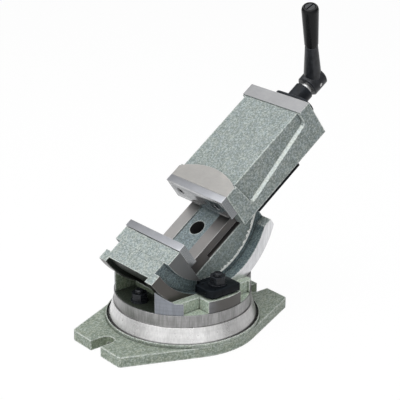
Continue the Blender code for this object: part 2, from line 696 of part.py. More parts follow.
def vise_bed():
    inside_flange = (WEB_RADIUS + FLANGE_RADIUS) / 2
    seat_top = PLATE_BOTTOM - SEAT_GAP
    behind = -2 * CASTING_FACE
    web = [(-SEAT_GAP, seat_top), (-SEAT_GAP, 0), (BED_END, 0), (BED_END, -BED_THICKNESS),
           (ROCKER_END, -BED_THICKNESS)]
    web += arc_between(inside_flange, angle_at_along(inside_flange, ROCKER_END),
                       angle_at_up(inside_flange, 0))
    web += [(behind, 0), (behind, seat_top)]
    maker = Maker(ENAMEL, BED_FRAME, solver="MANIFOLD")
    maker.start("vise_bed", slab(web, BED_HALF_WIDTH))

    flange_top = CASTING_TOP - 2 * CAST_STEP
    flange_end = ROCKER_END + CAST_STEP
    end_angle = -math.asin((FLANGE_END_DROP + AXIS_UP) / LEDGE_RADIUS)
    flange = arc_between(FLANGE_RADIUS, angle_at_along(FLANGE_RADIUS, flange_end),
                         angle_at_up(FLANGE_RADIUS, flange_top))
    flange += arc_between(LEDGE_RADIUS, angle_at_up(LEDGE_RADIUS, flange_top), end_angle)
    flange.append((flange_end, -FLANGE_END_DROP))
    maker.join(slab(flange, FLANGE_HALF_SPAN))

    neck_top = CASTING_TOP - CAST_STEP
    neck_face = -CASTING_FACE - CAST_STEP
    neck_radius = (LEDGE_RADIUS + WEB_RADIUS) / 2
    neck_end = angle_at_up(neck_radius, neck_top)
    neck = arc_between(neck_radius, angle_at_along(neck_radius, neck_face), neck_end)
    neck.append((neck_face, neck_top))
    maker.join(slab(neck, JAW_HALF_WIDTH - GROOVE_WALL_INSET))

    jaw = arc_between(BLOCK_RADIUS, angle_at_along(BLOCK_RADIUS, -CASTING_FACE),
                      angle_at_up(BLOCK_RADIUS, CASTING_TOP))
    jaw.append((-CASTING_FACE, CASTING_TOP))
    maker.join(slab(jaw, JAW_HALF_WIDTH))

    wall_top = SKIRT_BOTTOM - KEEPER_THICKNESS - 4 * SEAT_GAP
    wall_start = angle_at_up(SIDE_WALL_RADIUS, wall_top)
    maker.join(slab(arc_between(SIDE_WALL_RADIUS, wall_start, -math.pi - wall_start), SIDE_WALL_HALF_WIDTH))

    first = angle_at_along(WEB_RADIUS, ROCKER_END * 1.03)
    last = -math.pi * 1.2
    relief = arc_between(WEB_RADIUS, first, last) + arc_between(FLANGE_RADIUS * 1.1, last, first)
    maker.cut(slab(relief, FLANGE_HALF_SPAN - FLANGE_THICKNESS))

    channel = BED_HALF_WIDTH - RAIL_WIDTH
    maker.cut(block((SEAT_GAP, BED_END * 1.1), (-channel, channel), (-CHANNEL_DEPTH, RAIL_THICKNESS)))
    slot_wall = BED_HALF_WIDTH - KEEPER_SLOT_DEPTH
    slot_floor = SKIRT_BOTTOM - KEEPER_THICKNESS - 3 * SEAT_GAP
    for side in (1, -1):
        across = sorted((side * slot_wall, side * BED_HALF_WIDTH * 1.2))
        maker.cut(block((KEEPER_SLOT_START, BED_END * 1.1), across, (slot_floor, SKIRT_BOTTOM)))
    core = rod(CORE_HOLE_RADIUS, -CORE_HOLE_DEPTH, RAIL_THICKNESS, ROUND_SIDES)
    maker.cut(core, moved(CORE_HOLE_ALONG, 0, 0))
    drill_jaw_face(maker, -1)
    for along in nut_screw_places():
        head = rod(NUT_SCREW_HEAD_RADIUS + HOLE_GAP, -BED_THICKNESS * 1.5,
                   -BED_THICKNESS + NUT_SCREW_HEAD_LENGTH + SEAT_GAP)
        maker.cut(head, moved(along, 0, 0))
        maker.cut(rod(NUT_SCREW_RADIUS + HOLE_GAP, -BED_THICKNESS, 0), moved(along, 0, 0))
    maker.smooth()


def drill_jaw_face(maker, direction):
    """Tapped holes behind a jaw plate. The casting lies before or behind the clamping face."""
    turn = turned_about("Y", direction * math.pi / 2)
    reach = PLATE_THICKNESS + PLATE_SCREW_REACH + SEAT_GAP
    for side in (1, -1):
        place = moved(0, side * PLATE_SCREW_ACROSS, PLATE_SCREW_UP) @ turn
        maker.cut(rod(PLATE_SCREW_RADIUS + HOLE_GAP, PLATE_THICKNESS / 2, reach), place)


def jaw_plate(name, parent, direction, bottom):
    """A ground plate with two counterbored holes. Its clamping face is at along = 0."""
    along = sorted((0, direction * PLATE_THICKNESS))
    maker = Maker(GROUND, parent)
    maker.start(name, block(along, (-JAW_HALF_WIDTH, JAW_HALF_WIDTH), (bottom, JAW_TOP)))
    turn = turned_about("Y", direction * math.pi / 2)
    for side in (1, -1):
        place = moved(0, side * PLATE_SCREW_ACROSS, PLATE_SCREW_UP) @ turn
        maker.cut(rod(PLATE_SCREW_RADIUS + HOLE_GAP, -PLATE_THICKNESS, 2 * PLATE_THICKNESS), place)
        head = PLATE_SCREW_HEAD_LENGTH + 2 * SEAT_GAP
        maker.cut(rod(PLATE_SCREW_HEAD_RADIUS + HOLE_GAP, -PLATE_THICKNESS, head), place)


def plate_screws(name, parent, direction):
    reach = PLATE_THICKNESS - PLATE_SCREW_HEAD_LENGTH + PLATE_SCREW_REACH - SEAT_GAP
    screw = socket_screw(PLATE_SCREW_HEAD_RADIUS, PLATE_SCREW_HEAD_LENGTH, PLATE_SCREW_RADIUS, reach)
    copies(BLACK, parent, screw,
           {f"{name}_{end}": facing((-direction, 0, 0), (direction * SEAT_GAP, side * PLATE_SCREW_ACROSS,
                                                         PLATE_SCREW_UP))
            for end, side in (("right", -1), ("left", 1))})


def nut_screw_places():
    return [NUT_START + NUT_SCREW_INSET, NUT_START + NUT_LENGTH - NUT_SCREW_INSET]


def feed_nut():
    bottom = -CHANNEL_DEPTH + SEAT_GAP
    maker = Maker(BRONZE, BED_FRAME)
    maker.start("feed_nut", block((NUT_START, NUT_START + NUT_LENGTH), (-NUT_HALF_WIDTH, NUT_HALF_WIDTH),
                                  (bottom, NUT_TOP)))
    bore = moved(NUT_START + NUT_LENGTH / 2, 0, SCREW_UP) @ turned_about("Y", math.pi / 2)
    maker.cut(rod(SCREW_RADIUS + HOLE_GAP, -NUT_LENGTH, NUT_LENGTH, ROUND_SIDES), bore)
    for along in nut_screw_places():
        hole = rod(NUT_SCREW_RADIUS + HOLE_GAP, -BED_THICKNESS, NUT_SCREW_REACH + SEAT_GAP)
        maker.cut(hole, moved(along, 0, 0))
    maker.smooth()
    reach = BED_THICKNESS - NUT_SCREW_HEAD_LENGTH + NUT_SCREW_REACH - SEAT_GAP
    screw = socket_screw(NUT_SCREW_HEAD_RADIUS, NUT_SCREW_HEAD_LENGTH, NUT_SCREW_RADIUS, reach)
    copies(BLACK, BED_FRAME, screw,
           {f"feed_nut_screw_{end}": facing((0, 0, -1), (along, 0, -BED_THICKNESS))
            for end, along in zip(("front", "rear"), nut_screw_places())})


# Movable jaw
def keeper_screw_places():
    ends = KEEPER_START + KEEPER_SCREW_MARGIN, KEEPER_START + KEEPER_LENGTH - KEEPER_SCREW_MARGIN
    across = (BED_HALF_WIDTH + JAW_HALF_WIDTH) / 2
    return [(along, side * across) for along in ends for side in (1, -1)]


def movable_jaw():
    maker = Maker(ENAMEL, JAW_SLIDE)
    pad_top = JAW_TOP - SEAT_GAP
    maker.start("movable_jaw", block((CASTING_FACE, MOVABLE_LENGTH), (-JAW_HALF_WIDTH, JAW_HALF_WIDTH),
                                     (SKIRT_BOTTOM, pad_top)))
    wide = JAW_HALF_WIDTH * 1.1
    swing = math.asin(wide / PAD_ARC_RADIUS)
    top = arc((PAD_REACH - PAD_ARC_RADIUS, 0), PAD_ARC_RADIUS, swing, -swing)
    top += [(STRIP_START, -wide), (STRIP_START, wide)]
    maker.cut(plate(top, pad_top - PAD_STEP, pad_top * 1.1))
    wall = JAW_HALF_WIDTH - SIDE_POCKET_DEPTH
    over = pad_top * 1.4
    front = SIDE_POCKET_START + SIDE_POCKET_LEAN
    outline = rounded([(SIDE_POCKET_START, over), (front, SIDE_LEDGE_START_UP),
                       (SIDE_POCKET_REAR, SIDE_LEDGE_END_UP), (SIDE_POCKET_REAR, over)], POCKET_CORNER)
    # The ledge falls outward, so the tool's height follows its place across
    fall = SIDE_LEDGE_FALL / SIDE_POCKET_DEPTH
    for side in (1, -1):
        pocket = slab(outline, wide, wall)
        for vertex in pocket.verts:
            vertex.co.z += fall * (JAW_HALF_WIDTH - vertex.co.y)
        maker.cut(pocket, Matrix.Diagonal((1, side, 1, 1)))
    rail_gap = BED_HALF_WIDTH + SEAT_GAP
    maker.cut(block((0, MOVABLE_LENGTH * 1.1), (-rail_gap, rail_gap), (2 * SKIRT_BOTTOM, SEAT_GAP)))
    maker.cut(block((HOLLOW_START, HOLLOW_END), (-HOLLOW_HALF_WIDTH, HOLLOW_HALF_WIDTH),
                    (SKIRT_BOTTOM, HOLLOW_TOP)))
    drill_jaw_face(maker, 1)
    along_screw = moved(0, 0, SCREW_UP) @ turned_about("Y", math.pi / 2)
    journal = rod(JOURNAL_RADIUS + HOLE_GAP, HOLLOW_END - SEAT_GAP, MOVABLE_LENGTH * 1.1, ROUND_SIDES)
    maker.cut(journal, along_screw)
    collar_seat = MOVABLE_LENGTH - COLLAR_LENGTH - SEAT_GAP
    maker.cut(rod(COLLAR_RADIUS + HOLE_GAP, collar_seat, MOVABLE_LENGTH * 1.1, ROUND_SIDES), along_screw)
    for side in (1, -1):
        hole = rod(PLATE_SCREW_RADIUS + HOLE_GAP, MOVABLE_LENGTH - PLATE_SCREW_REACH - SEAT_GAP,
                   MOVABLE_LENGTH * 1.1)
        maker.cut(hole, moved(0, side * BEARING_SCREW_ACROSS, SCREW_UP) @ turned_about("Y", math.pi / 2))
    for along, across in keeper_screw_places():
        hole = rod(KEEPER_SCREW_RADIUS + HOLE_GAP, 2 * SKIRT_BOTTOM, SKIRT_BOTTOM + KEEPER_SCREW_REACH)
        maker.cut(hole, moved(along, across, 0))
    maker.smooth()


def keepers():
    top = SKIRT_BOTTOM - SEAT_GAP
    bottom = top - KEEPER_THICKNESS
    inner = BED_HALF_WIDTH - KEEPER_SLOT_DEPTH + 2 * SEAT_GAP
    outer = JAW_HALF_WIDTH - KEEPER_EDGE_INSET
    for name, side in (("keeper_left", 1), ("keeper_right", -1)):
        across = sorted((side * inner, side * outer))
        maker = Maker(BLACK, JAW_SLIDE)
        maker.start(name, block((KEEPER_START, KEEPER_START + KEEPER_LENGTH), across, (bottom, top)))
        for x, y in keeper_screw_places():
            if y * side > 0:
                maker.cut(rod(KEEPER_SCREW_RADIUS + HOLE_GAP, bottom * 1.2, top * 0.8), moved(x, y, 0))
                head = bottom + KEEPER_SCREW_HEAD_LENGTH + SEAT_GAP
                maker.cut(rod(KEEPER_SCREW_HEAD_RADIUS + HOLE_GAP, bottom * 1.2, head), moved(x, y, 0))
    reach = KEEPER_THICKNESS - KEEPER_SCREW_HEAD_LENGTH + KEEPER_SCREW_REACH - SEAT_GAP
    screw = socket_screw(KEEPER_SCREW_HEAD_RADIUS, KEEPER_SCREW_HEAD_LENGTH, KEEPER_SCREW_RADIUS, reach)
    names = ["front_left", "front_right", "rear_left", "rear_right"]
    copies(BLACK, JAW_SLIDE, screw,
           {f"keeper_screw_{name}": facing((0, 0, -1), (*place, bottom))
            for name, place in zip(names, keeper_screw_places())})


def bearing_flange():
    """An oblong cap over the collar, with a round boss for the screw's neck."""
    straight = BEARING_HALF_LENGTH - BEARING_HALF_HEIGHT
    right = arc((0, straight), BEARING_HALF_HEIGHT, 0, math.pi)
    left = arc((0, -straight), BEARING_HALF_HEIGHT, math.pi, 2 * math.pi)
    maker = Maker(BLACK, SCREW_AXIS)
    outer_face = BEARING_FACE + BEARING_THICKNESS
    maker.start("bearing_flange", plate(right + left, BEARING_FACE, outer_face))
    maker.join(rod(BOSS_RADIUS, outer_face - BEARING_THICKNESS / 2, BOSS_END, ROUND_SIDES))
    maker.cut(rod(SCREW_RADIUS + HOLE_GAP, 0, BOSS_END * 1.1, ROUND_SIDES))
    for side in (1, -1):
        place = moved(0, side * BEARING_SCREW_ACROSS, 0)
        maker.cut(rod(PLATE_SCREW_RADIUS + HOLE_GAP, BEARING_FACE - SEAT_GAP, BOSS_END), place)
        head = outer_face - PLATE_SCREW_HEAD_LENGTH - SEAT_GAP
        maker.cut(rod(PLATE_SCREW_HEAD_RADIUS + HOLE_GAP, head, BOSS_END), place)
    maker.smooth()
    reach = BEARING_THICKNESS - PLATE_SCREW_HEAD_LENGTH + PLATE_SCREW_REACH - SEAT_GAP
    screw = socket_screw(PLATE_SCREW_HEAD_RADIUS, PLATE_SCREW_HEAD_LENGTH, PLATE_SCREW_RADIUS, reach)
    copies(BLACK, SCREW_AXIS, screw,
           {f"bearing_screw_{end}": moved(0, side * BEARING_SCREW_ACROSS, outer_face)
            for end, side in (("right", -1), ("left", 1))})


# Lead screw and crank
def lead_screw():
    collar_start = MOVABLE_LENGTH - COLLAR_LENGTH
    end = HUB_END + SEAT_GAP
    edge = SCREW_RADIUS * 0.15
    shoulder = HOLLOW_END + SEAT_GAP
    profile = [(0, end), (SCREW_RADIUS - edge, end), (SCREW_RADIUS, end - edge),
               (SCREW_RADIUS, MOVABLE_LENGTH), (COLLAR_RADIUS, MOVABLE_LENGTH),
               (COLLAR_RADIUS, collar_start), (JOURNAL_RADIUS, collar_start),
               (JOURNAL_RADIUS, shoulder), (SCREW_RADIUS, shoulder), (SCREW_RADIUS, SCREW_TIP + edge),
               (SCREW_RADIUS - edge, SCREW_TIP), (0, SCREW_TIP)]
    maker = Maker(BRIGHT, SCREW_AXIS)
    maker.start("lead_screw", lathe(profile, ROUND_SIDES))
    pin_hole = rod(HUB_PIN_RADIUS + HOLE_GAP, -HUB_RADIUS, HUB_RADIUS)
    maker.cut(pin_hole, moved(0, 0, HUB_CENTRE) @ PIN_DIRECTION)
    maker.smooth()


def crank_arm():
    chamfer = HUB_CHAMFER
    half = HUB_LENGTH / 2
    profile = [(0, half), (HUB_RADIUS - chamfer, half), (HUB_RADIUS, half - chamfer),
               (HUB_RADIUS, chamfer - half), (HUB_RADIUS - chamfer, -half), (0, -half)]
    maker = Maker(BLACK, SCREW_AXIS, moved(0, 0, HUB_CENTRE), solver="MANIFOLD")
    maker.start("crank_arm", lathe(profile, ROUND_SIDES))
    arm_end = GRIP_START - SEAT_GAP
    hole = GRIP_BOLT_RADIUS + HOLE_GAP
    hole_floor = arm_end - GRIP_BOLT_THREAD - SEAT_GAP
    arm = [(0, hole_floor), (hole, hole_floor), (hole, arm_end), (ARM_END_RADIUS, arm_end),
           (ARM_ROOT_RADIUS, 0), (0, 0)]
    maker.join(lathe(arm), ARM_DIRECTION)
    maker.cut(rod(SCREW_RADIUS + HOLE_GAP, -HUB_LENGTH, HUB_LENGTH, ROUND_SIDES))
    maker.cut(rod(HUB_PIN_RADIUS + HOLE_GAP, -2 * HUB_RADIUS, 2 * HUB_RADIUS), PIN_DIRECTION)
    maker.smooth()
    pin = rod(HUB_PIN_RADIUS, -HUB_RADIUS + chamfer / 2, HUB_RADIUS - chamfer / 2, SMALL_SIDES)
    Maker(BRIGHT, SCREW_AXIS, moved(0, 0, HUB_CENTRE)).start("hub_pin", pin, PIN_DIRECTION).smooth()


def grip():
    bore = GRIP_BOLT_RADIUS + HOLE_GAP
    recess = GRIP_BOLT_HEAD_RADIUS + HOLE_GAP
    recess_floor = GRIP_END - GRIP_BOLT_HEAD_LENGTH - SEAT_GAP
    lip = (GRIP_LARGE_RADIUS + recess) / 2
    dome = [(recess, GRIP_END), (lip, GRIP_END - GRIP_DOME * 0.12),
            (GRIP_LARGE_RADIUS * 0.94, GRIP_END - GRIP_DOME * 0.45),
            (GRIP_LARGE_RADIUS, GRIP_END - GRIP_DOME)]
    profile = [(bore, recess_floor), (recess, recess_floor), *dome,
               (GRIP_SMALL_RADIUS, GRIP_START + 0.002), (GRIP_SMALL_RADIUS * 0.92, GRIP_START),
               (bore, GRIP_START)]
    Maker(PLASTIC, CRANK_AXIS).start("grip", lathe(profile, ROUND_SIDES)).smooth()
    top = GRIP_END - SEAT_GAP
    head_bottom = top - GRIP_BOLT_HEAD_LENGTH + SEAT_GAP
    bolt = [(0, top), (GRIP_BOLT_HEAD_RADIUS * 0.9, top), (GRIP_BOLT_HEAD_RADIUS, top - GRIP_DOME * 0.12),
            (GRIP_BOLT_HEAD_RADIUS, head_bottom), (GRIP_BOLT_RADIUS, head_bottom),
            (GRIP_BOLT_RADIUS, GRIP_START - GRIP_BOLT_THREAD), (0, GRIP_START - GRIP_BOLT_THREAD)]
    maker = Maker(BLACK, CRANK_AXIS)
    maker.start("grip_bolt", lathe(bolt, SMALL_SIDES))
    slot = GRIP_BOLT_HEAD_RADIUS * 1.2
    slot_half = GRIP_BOLT_HEAD_RADIUS * 0.14
    slot_floor = top - GRIP_BOLT_HEAD_LENGTH / 2
    maker.cut(block((-slot, slot), (-slot_half, slot_half), (slot_floor, GRIP_END * 1.05)))
    maker.smooth()


base_plate()
pivot_pin()
swivel_plate()
swivel_fasteners()
tilt_clamp("tilt_clamp_left", 1)
tilt_clamp("tilt_clamp_right", -1)
clamp_fasteners()
vise_bed()
jaw_plate("fixed_jaw_plate", BED_FRAME, -1, PLATE_BOTTOM)
plate_screws("fixed_plate_screw", BED_FRAME, -1)
feed_nut()
movable_jaw()
jaw_plate("movable_jaw_plate", JAW_SLIDE, 1, PLATE_BOTTOM)
plate_screws("movable_plate_screw", JAW_SLIDE, 1)
keepers()
bearing_flange()
lead_screw()
crank_arm()
grip()
bpy.context.view_layer.update()
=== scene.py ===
# %% [markdown]
# A tilting machine vise, dressed for a studio photograph.
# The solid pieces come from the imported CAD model, already in place and in metres. This lesson gives
# them paint, ground and blackened steel, worn edges and real threads, and then sets up the camera
# and the lights. Each step says what the real thing is and why it is made this way.

import bpy
import bmesh
import json
import math
from mathutils import Matrix, Vector


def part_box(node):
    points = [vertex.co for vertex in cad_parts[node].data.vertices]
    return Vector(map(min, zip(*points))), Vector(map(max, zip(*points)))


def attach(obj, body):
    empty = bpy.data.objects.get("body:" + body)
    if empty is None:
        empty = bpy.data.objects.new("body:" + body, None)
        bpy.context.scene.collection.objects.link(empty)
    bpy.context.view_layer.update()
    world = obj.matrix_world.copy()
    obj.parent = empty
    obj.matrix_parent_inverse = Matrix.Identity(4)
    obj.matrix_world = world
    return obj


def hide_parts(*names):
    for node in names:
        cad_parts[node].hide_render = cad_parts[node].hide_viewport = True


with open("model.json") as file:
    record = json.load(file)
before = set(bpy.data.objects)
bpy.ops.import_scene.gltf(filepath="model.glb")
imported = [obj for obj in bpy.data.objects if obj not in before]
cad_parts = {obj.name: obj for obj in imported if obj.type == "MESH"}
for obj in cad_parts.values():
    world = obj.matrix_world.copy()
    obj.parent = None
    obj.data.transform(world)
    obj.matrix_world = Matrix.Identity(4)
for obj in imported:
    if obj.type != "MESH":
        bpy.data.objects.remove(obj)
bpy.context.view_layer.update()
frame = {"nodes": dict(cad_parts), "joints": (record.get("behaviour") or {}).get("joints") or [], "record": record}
nodes = frame["nodes"]


# %% [markdown]
# The bed is tilted, so its faces are easier to describe along the bed than along the world's axes.
# The tilt could be typed in as an angle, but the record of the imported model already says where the
# tilt axis is and which way the jaw slides. From these two facts come the bed's own directions: along
# it, across it, and up from its rails.

# %% Find the bed's own directions
joints = {joint["name"]: joint for joint in frame["joints"]}
SIDEWAYS = (0, 1, 0)
ALONG = Vector(joints["jaw_slide"]["axis"]).normalized()
ACROSS = Vector(SIDEWAYS)
UP = ALONG.cross(ACROSS).normalized()
TILT_AXIS = Vector(joints["rocker_tilt"]["pos_m"])
print("bed tilt", round(math.degrees(math.asin(ALONG.z)), 2), "degrees")

# %% [markdown]
# Materials in Blender are networks of nodes. Written out by hand they are long, so three small
# classes carry the work. A Wire holds one socket and turns Python arithmetic into Math nodes, so that
# a line such as 1 - mask builds what it says. A Network makes any other node from its type, its
# settings and its sockets. A Finish is the network of one material.

# %% A wire that does arithmetic


class Wire:
    """A number that a node gives, ready for Python's operators."""

    def __init__(self, network, socket):
        self.network = network
        self.socket = socket

    def maths(self, operation, *values):
        return self.network.node("ShaderNodeMath", {"operation": operation}, dict(enumerate(values)))

    def __add__(self, other):
        return self.maths("ADD", self, other)

    __radd__ = __add__

    def __mul__(self, other):
        return self.maths("MULTIPLY", self, other)

    __rmul__ = __mul__

    def __sub__(self, other):
        return self.maths("SUBTRACT", self, other)

    def __rsub__(self, other):
        return self.maths("SUBTRACT", other, self)

    def __pow__(self, other):
        return self.maths("POWER", self, other)

    def larger(self, other):
        return self.maths("MAXIMUM", self, other)

    def fade(self, low, high):
        """Runs smoothly from 0 to 1 as the value goes from low to high."""
        settings = {"interpolation_type": "SMOOTHSTEP"}
        sockets = {"Value": self, "From Min": low, "From Max": high}
        return self.network.node("ShaderNodeMapRange", settings, sockets)

    def sister(self, name):
        """Another output of the same node."""
        return Wire(self.network, self.socket.node.outputs[name])


print("a wire adds, subtracts, multiplies, raises to a power and fades")

# %% A network that makes its own nodes


class Network:
    """The nodes of one material or of the world."""

    def __init__(self, tree):
        self.tree = tree

    def put(self, socket, value):
        """Links a wire to a socket, or sets the socket's own value."""
        if isinstance(value, Wire):
            self.tree.links.new(value.socket, socket)
        elif isinstance(value, (tuple, list)) and len(value) == 3 and socket.type == "RGBA":
            socket.default_value = (*value, 1.0)
        else:
            socket.default_value = value

    def node(self, kind, settings=None, sockets=None, output=0):
        """Any node: its type, its settings, its sockets, and the output that is wanted."""
        made = self.tree.nodes.new(kind)
        for key, value in (settings or {}).items():
            setattr(made, key, value)
        for key, value in (sockets or {}).items():
            self.put(made.inputs[key], value)
        return Wire(self, made.outputs[output])

    def blend(self, share, first, second):
        """A colour between two colours."""
        return self.node("ShaderNodeMix", {"data_type": "RGBA"}, {0: share, 6: first, 7: second}, 2)

    def vector(self, operation, first, second, output="Vector"):
        """Vector Math on two vectors."""
        return self.node("ShaderNodeVectorMath", {"operation": operation}, {0: first, 1: second}, output)

    def dot(self, first, second):
        """The number that says how far one vector reaches along another."""
        return self.vector("DOT_PRODUCT", first, second, "Value")

    def choose(self, share, first, second):
        """A shader between two shaders."""
        return self.node("ShaderNodeMixShader", None, {0: share, 1: first, 2: second})


print("a network makes nodes, blends colours and works on vectors")

# %% [markdown]
# Every finish of the vise needs the same few things: a place on the piece, noise at a real size,
# worn outside edges, inside corners painted darker as shade, and a height that becomes a bump. The
# place comes from the object's own coordinates, in metres, so that a pattern stays on its piece when a
# joint moves.
# The Bevel node bends the normal near an edge, and how far it bends says how near the edge is. The
# Ambient Occlusion node sees how much open air a point has, and so finds the corners.

# %% A finish is a network round one shader


class Finish(Network):
    """One material, built around a Principled shader."""

    def __init__(self, name):
        self.material = bpy.data.materials.new(name)
        self.material.use_nodes = True
        super().__init__(self.material.node_tree)
        self.shader = self.tree.nodes["Principled BSDF"]
        self.rounded = None

    def place(self):
        """The point on the piece, in metres, before any joint moves it."""
        return self.node("ShaderNodeTexCoord", output="Object")

    def noise(self, size, detail=3.0, roughness=0.5, where=None):
        """Soft noise whose lumps are about the given size in metres."""
        sockets = {"Vector": where or self.place(), "Scale": 1.0 / size, "Detail": detail,
                   "Roughness": roughness}
        return self.node("ShaderNodeTexNoise", None, sockets)

    def spots(self, size):
        """Distance to the nearest of many scattered points, about the given size apart."""
        return self.node("ShaderNodeTexVoronoi", None, {"Vector": self.place(), "Scale": 1.0 / size})

    def distance(self, direction):
        """How far the point lies along a direction from the swivel's axis on the floor."""
        return self.dot(self.place(), tuple(direction))

    def rings(self, centre, axis):
        """The point's radius from an axis, and its height along that axis."""
        away = self.vector("SUBTRACT", self.place(), tuple(centre))
        height = self.dot(away, tuple(axis))
        square = self.dot(away, away)
        return (square - height * height) ** 0.5, height

    def round_off(self, radius):
        """Softens the shading near edges, and keeps the softened normal for the bump."""
        self.rounded = self.node("ShaderNodeBevel", {"samples": 4}, {"Radius": radius})
        return self.rounded

    def edges(self, radius):
        """1 on the outside edges of a piece, 0 on its faces and in its inside corners."""
        flat = self.node("ShaderNodeNewGeometry", output="True Normal")
        wide = self.round_off(radius * 1.3)
        self.round_off(radius)
        turn = 1 - self.dot(flat, wide)
        return turn.fade(0.003, 0.05) * self.open_air(0.003).fade(0.72, 0.93)

    def open_air(self, reach):
        """1 on open faces, less in the corners and grooves of the same piece."""
        settings = {"samples": 6, "only_local": True}
        return self.node("ShaderNodeAmbientOcclusion", settings, {"Distance": reach}, "AO")

    def corner_shade_and_rubbed_edges(self, colour, rubbed, bright):
        """Machined steel: painted shade darkens the inside corners, and edges are rubbed to a bright colour."""
        # Painted shade: the inside corners are darkened by an occlusion mask.
        steel_corner_shade = 1 - self.open_air(0.002).fade(0.35, 0.85)
        colour = self.blend(steel_corner_shade * 0.8, colour, (0.03, 0.03, 0.03))
        return self.blend(self.edges(0.0006) * rubbed, colour, bright)

    def bump(self, height, depth):
        """Turns a height from 0 to 1 into a normal, with its depth in metres."""
        sockets = {"Height": height, "Distance": depth, "Strength": 1.0}
        if self.rounded:
            sockets["Normal"] = self.rounded
        return self.node("ShaderNodeBump", None, sockets)

    def surface(self, **values):
        """Sets the shader's sockets, with names such as Base_Color."""
        for key, value in values.items():
            self.put(self.shader.inputs[key.replace("_", " ")], value)
        return self.material


def times(colour, *shares):
    """A colour made lighter or darker: one share for all, or one each for red, green and blue."""
    shares = shares if len(shares) == 3 else shares * 3
    return tuple(value * share for value, share in zip(colour, shares))


print("a finish has a place, noise, edges, corners and a bump")

# %% [markdown]
# The castings are painted with a hammered enamel: a grey-green ground, broken up by a fine mottle of
# lighter and darker flecks one or two millimetres across, over the grain of the sand mould. A picture
# would only fit one surface. Noises at the scale of the real mottle work on every side of every
# casting, so the paint is mixed from those, and the same pattern lifts the surface a little.
# The paint is thin and pale on outside edges, which also serves as a painted highlight, and inside corners are
# painted darker as shade.

# %% Write the recipe for enamel
EDGE_PAINT_AND_HIGHLIGHT = (0.80, 0.84, 0.80)
PALE_FLECK = (0.66, 0.71, 0.68)
BARE_IRON = (0.97, 0.98, 0.94)
PAINT_DEPTH = 0.00018


def enamel(name, light, dark, fleck=0.5, wear=0.85, chipped=None):
    """Hammered enamel over cast iron, from a light tone to a dark one."""
    paint = Finish(name)
    mottle = paint.noise(0.0023, 3.0, 0.72)
    patches = paint.noise(0.016, 3.0, 0.55)
    grains = paint.noise(0.0011, 2.0, 0.6)
    tone = mottle.fade(0.36, 0.64) * 0.66 + patches.fade(0.3, 0.7) * 0.12 + grains.fade(0.38, 0.62) * 0.22
    warmth = paint.noise(0.006, 2.0, 0.5).fade(0.36, 0.64)
    light = paint.blend(warmth, times(light, 1.02, 1.00, 0.96), times(light, 0.98, 1.00, 1.04))
    colour = paint.blend(tone, dark, light)
    flecks = grains.fade(0.56, 0.66) * mottle.fade(0.48, 0.60)
    colour = paint.blend(flecks * fleck, colour, PALE_FLECK)
    # Painted shade: inside corners are darkened.
    enamel_corner_shade = 1 - paint.open_air(0.0025).fade(0.40, 0.90)
    colour = paint.blend(enamel_corner_shade * 0.85, colour, times(dark, 0.2))
    # Outside edges are pale from thin, worn paint, and this is also a painted highlight.
    rubbed = paint.edges(0.0018) * (0.45 + 0.7 * mottle.fade(0.38, 0.58))
    colour = paint.blend(rubbed * wear, colour, EDGE_PAINT_AND_HIGHLIGHT)
    if chipped:
        colour = paint.blend(chipped(paint), colour, BARE_IRON)
    height = mottle * 0.7 + grains * 0.3
    return paint.surface(Base_Color=colour, Roughness=0.40 + 0.2 * (1 - tone),
                         Specular_IOR_Level=0.4, Normal=paint.bump(height, PAINT_DEPTH))


print("the recipe for enamel is ready")

# %% [markdown]
# One pot of paint doesn't look the same everywhere. On the jaws it is clean and grey-green. The fixed
# jaw is touched most and has gone paler, and the raised ledges on the sliding jaw's sides are rubbed
# pale and painted almost white as a highlight. Each of these gets its own light and dark tone from the same
# recipe.

# %% Mix the enamels of the jaws
JAW_ENAMEL = enamel("grey_green_enamel", (0.360, 0.400, 0.385), (0.105, 0.133, 0.127))
BED_ENAMEL = enamel("pale_grey_green_enamel", (0.430, 0.472, 0.455), (0.130, 0.163, 0.156))
# The pale ledge is worn paint and also a painted highlight.
PALE_LEDGE_AND_HIGHLIGHT = enamel("worn_ledge_enamel_with_painted_highlight", (0.78, 0.83, 0.80), (0.46, 0.51, 0.48), fleck=0.9)
print("mixed", JAW_ENAMEL.name, BED_ENAMEL.name, PALE_LEDGE_AND_HIGHLIGHT.name)

# %% [markdown]
# The bed's side wall ends in a lip where the paint has broken off in a ragged line, down to the bare
# casting. It could be modelled as small lumps, but the line is what the eye sees. A mask is enough:
# the radius from the tilt axis, disturbed by noise, is compared with the radius of the lip. The wall's
# paint is darker, a painted shade. The channel between the rails is bluer and darker, the ledges below
# the wall are bluer and darker still, as painted shade under the jaw, and the hollow under the fixed
# jaw is painted nearly black as its shade.

# %% Mix the enamels of the bed


def broken_lip(paint):
    """Bare iron along the outer edge of the bed's side wall, broken off unevenly."""
    radius = paint.rings(TILT_AXIS, ACROSS)[0]
    ragged = paint.noise(0.0035, 3.0, 0.7)
    return (radius + ragged * 0.0110).fade(0.0836, 0.0840) * paint.noise(0.0018, 2.0, 0.6).fade(0.36, 0.44)


# The wall, the ledges and the relief are painted darker, as painted shade.
SHADED_WALL_ENAMEL = enamel("bed_wall_enamel_with_painted_shade", (0.265, 0.310, 0.300), (0.100, 0.128, 0.122), fleck=0.3,
                     chipped=broken_lip)
CHANNEL_ENAMEL = enamel("enamel_in_the_channel", (0.270, 0.325, 0.340), (0.090, 0.118, 0.125))
SHADED_LEDGE_ENAMEL = enamel("ledge_enamel_with_painted_shade", (0.170, 0.222, 0.232), (0.038, 0.056, 0.060), fleck=0.3,
                      wear=0.6)
RELIEF_SHADE_ENAMEL = enamel("relief_painted_shade", (0.015, 0.020, 0.015), (0.006, 0.008, 0.006), fleck=0.0,
                       wear=0.2)
print("mixed", SHADED_WALL_ENAMEL.name, CHANNEL_ENAMEL.name, SHADED_LEDGE_ENAMEL.name, RELIEF_SHADE_ENAMEL.name)
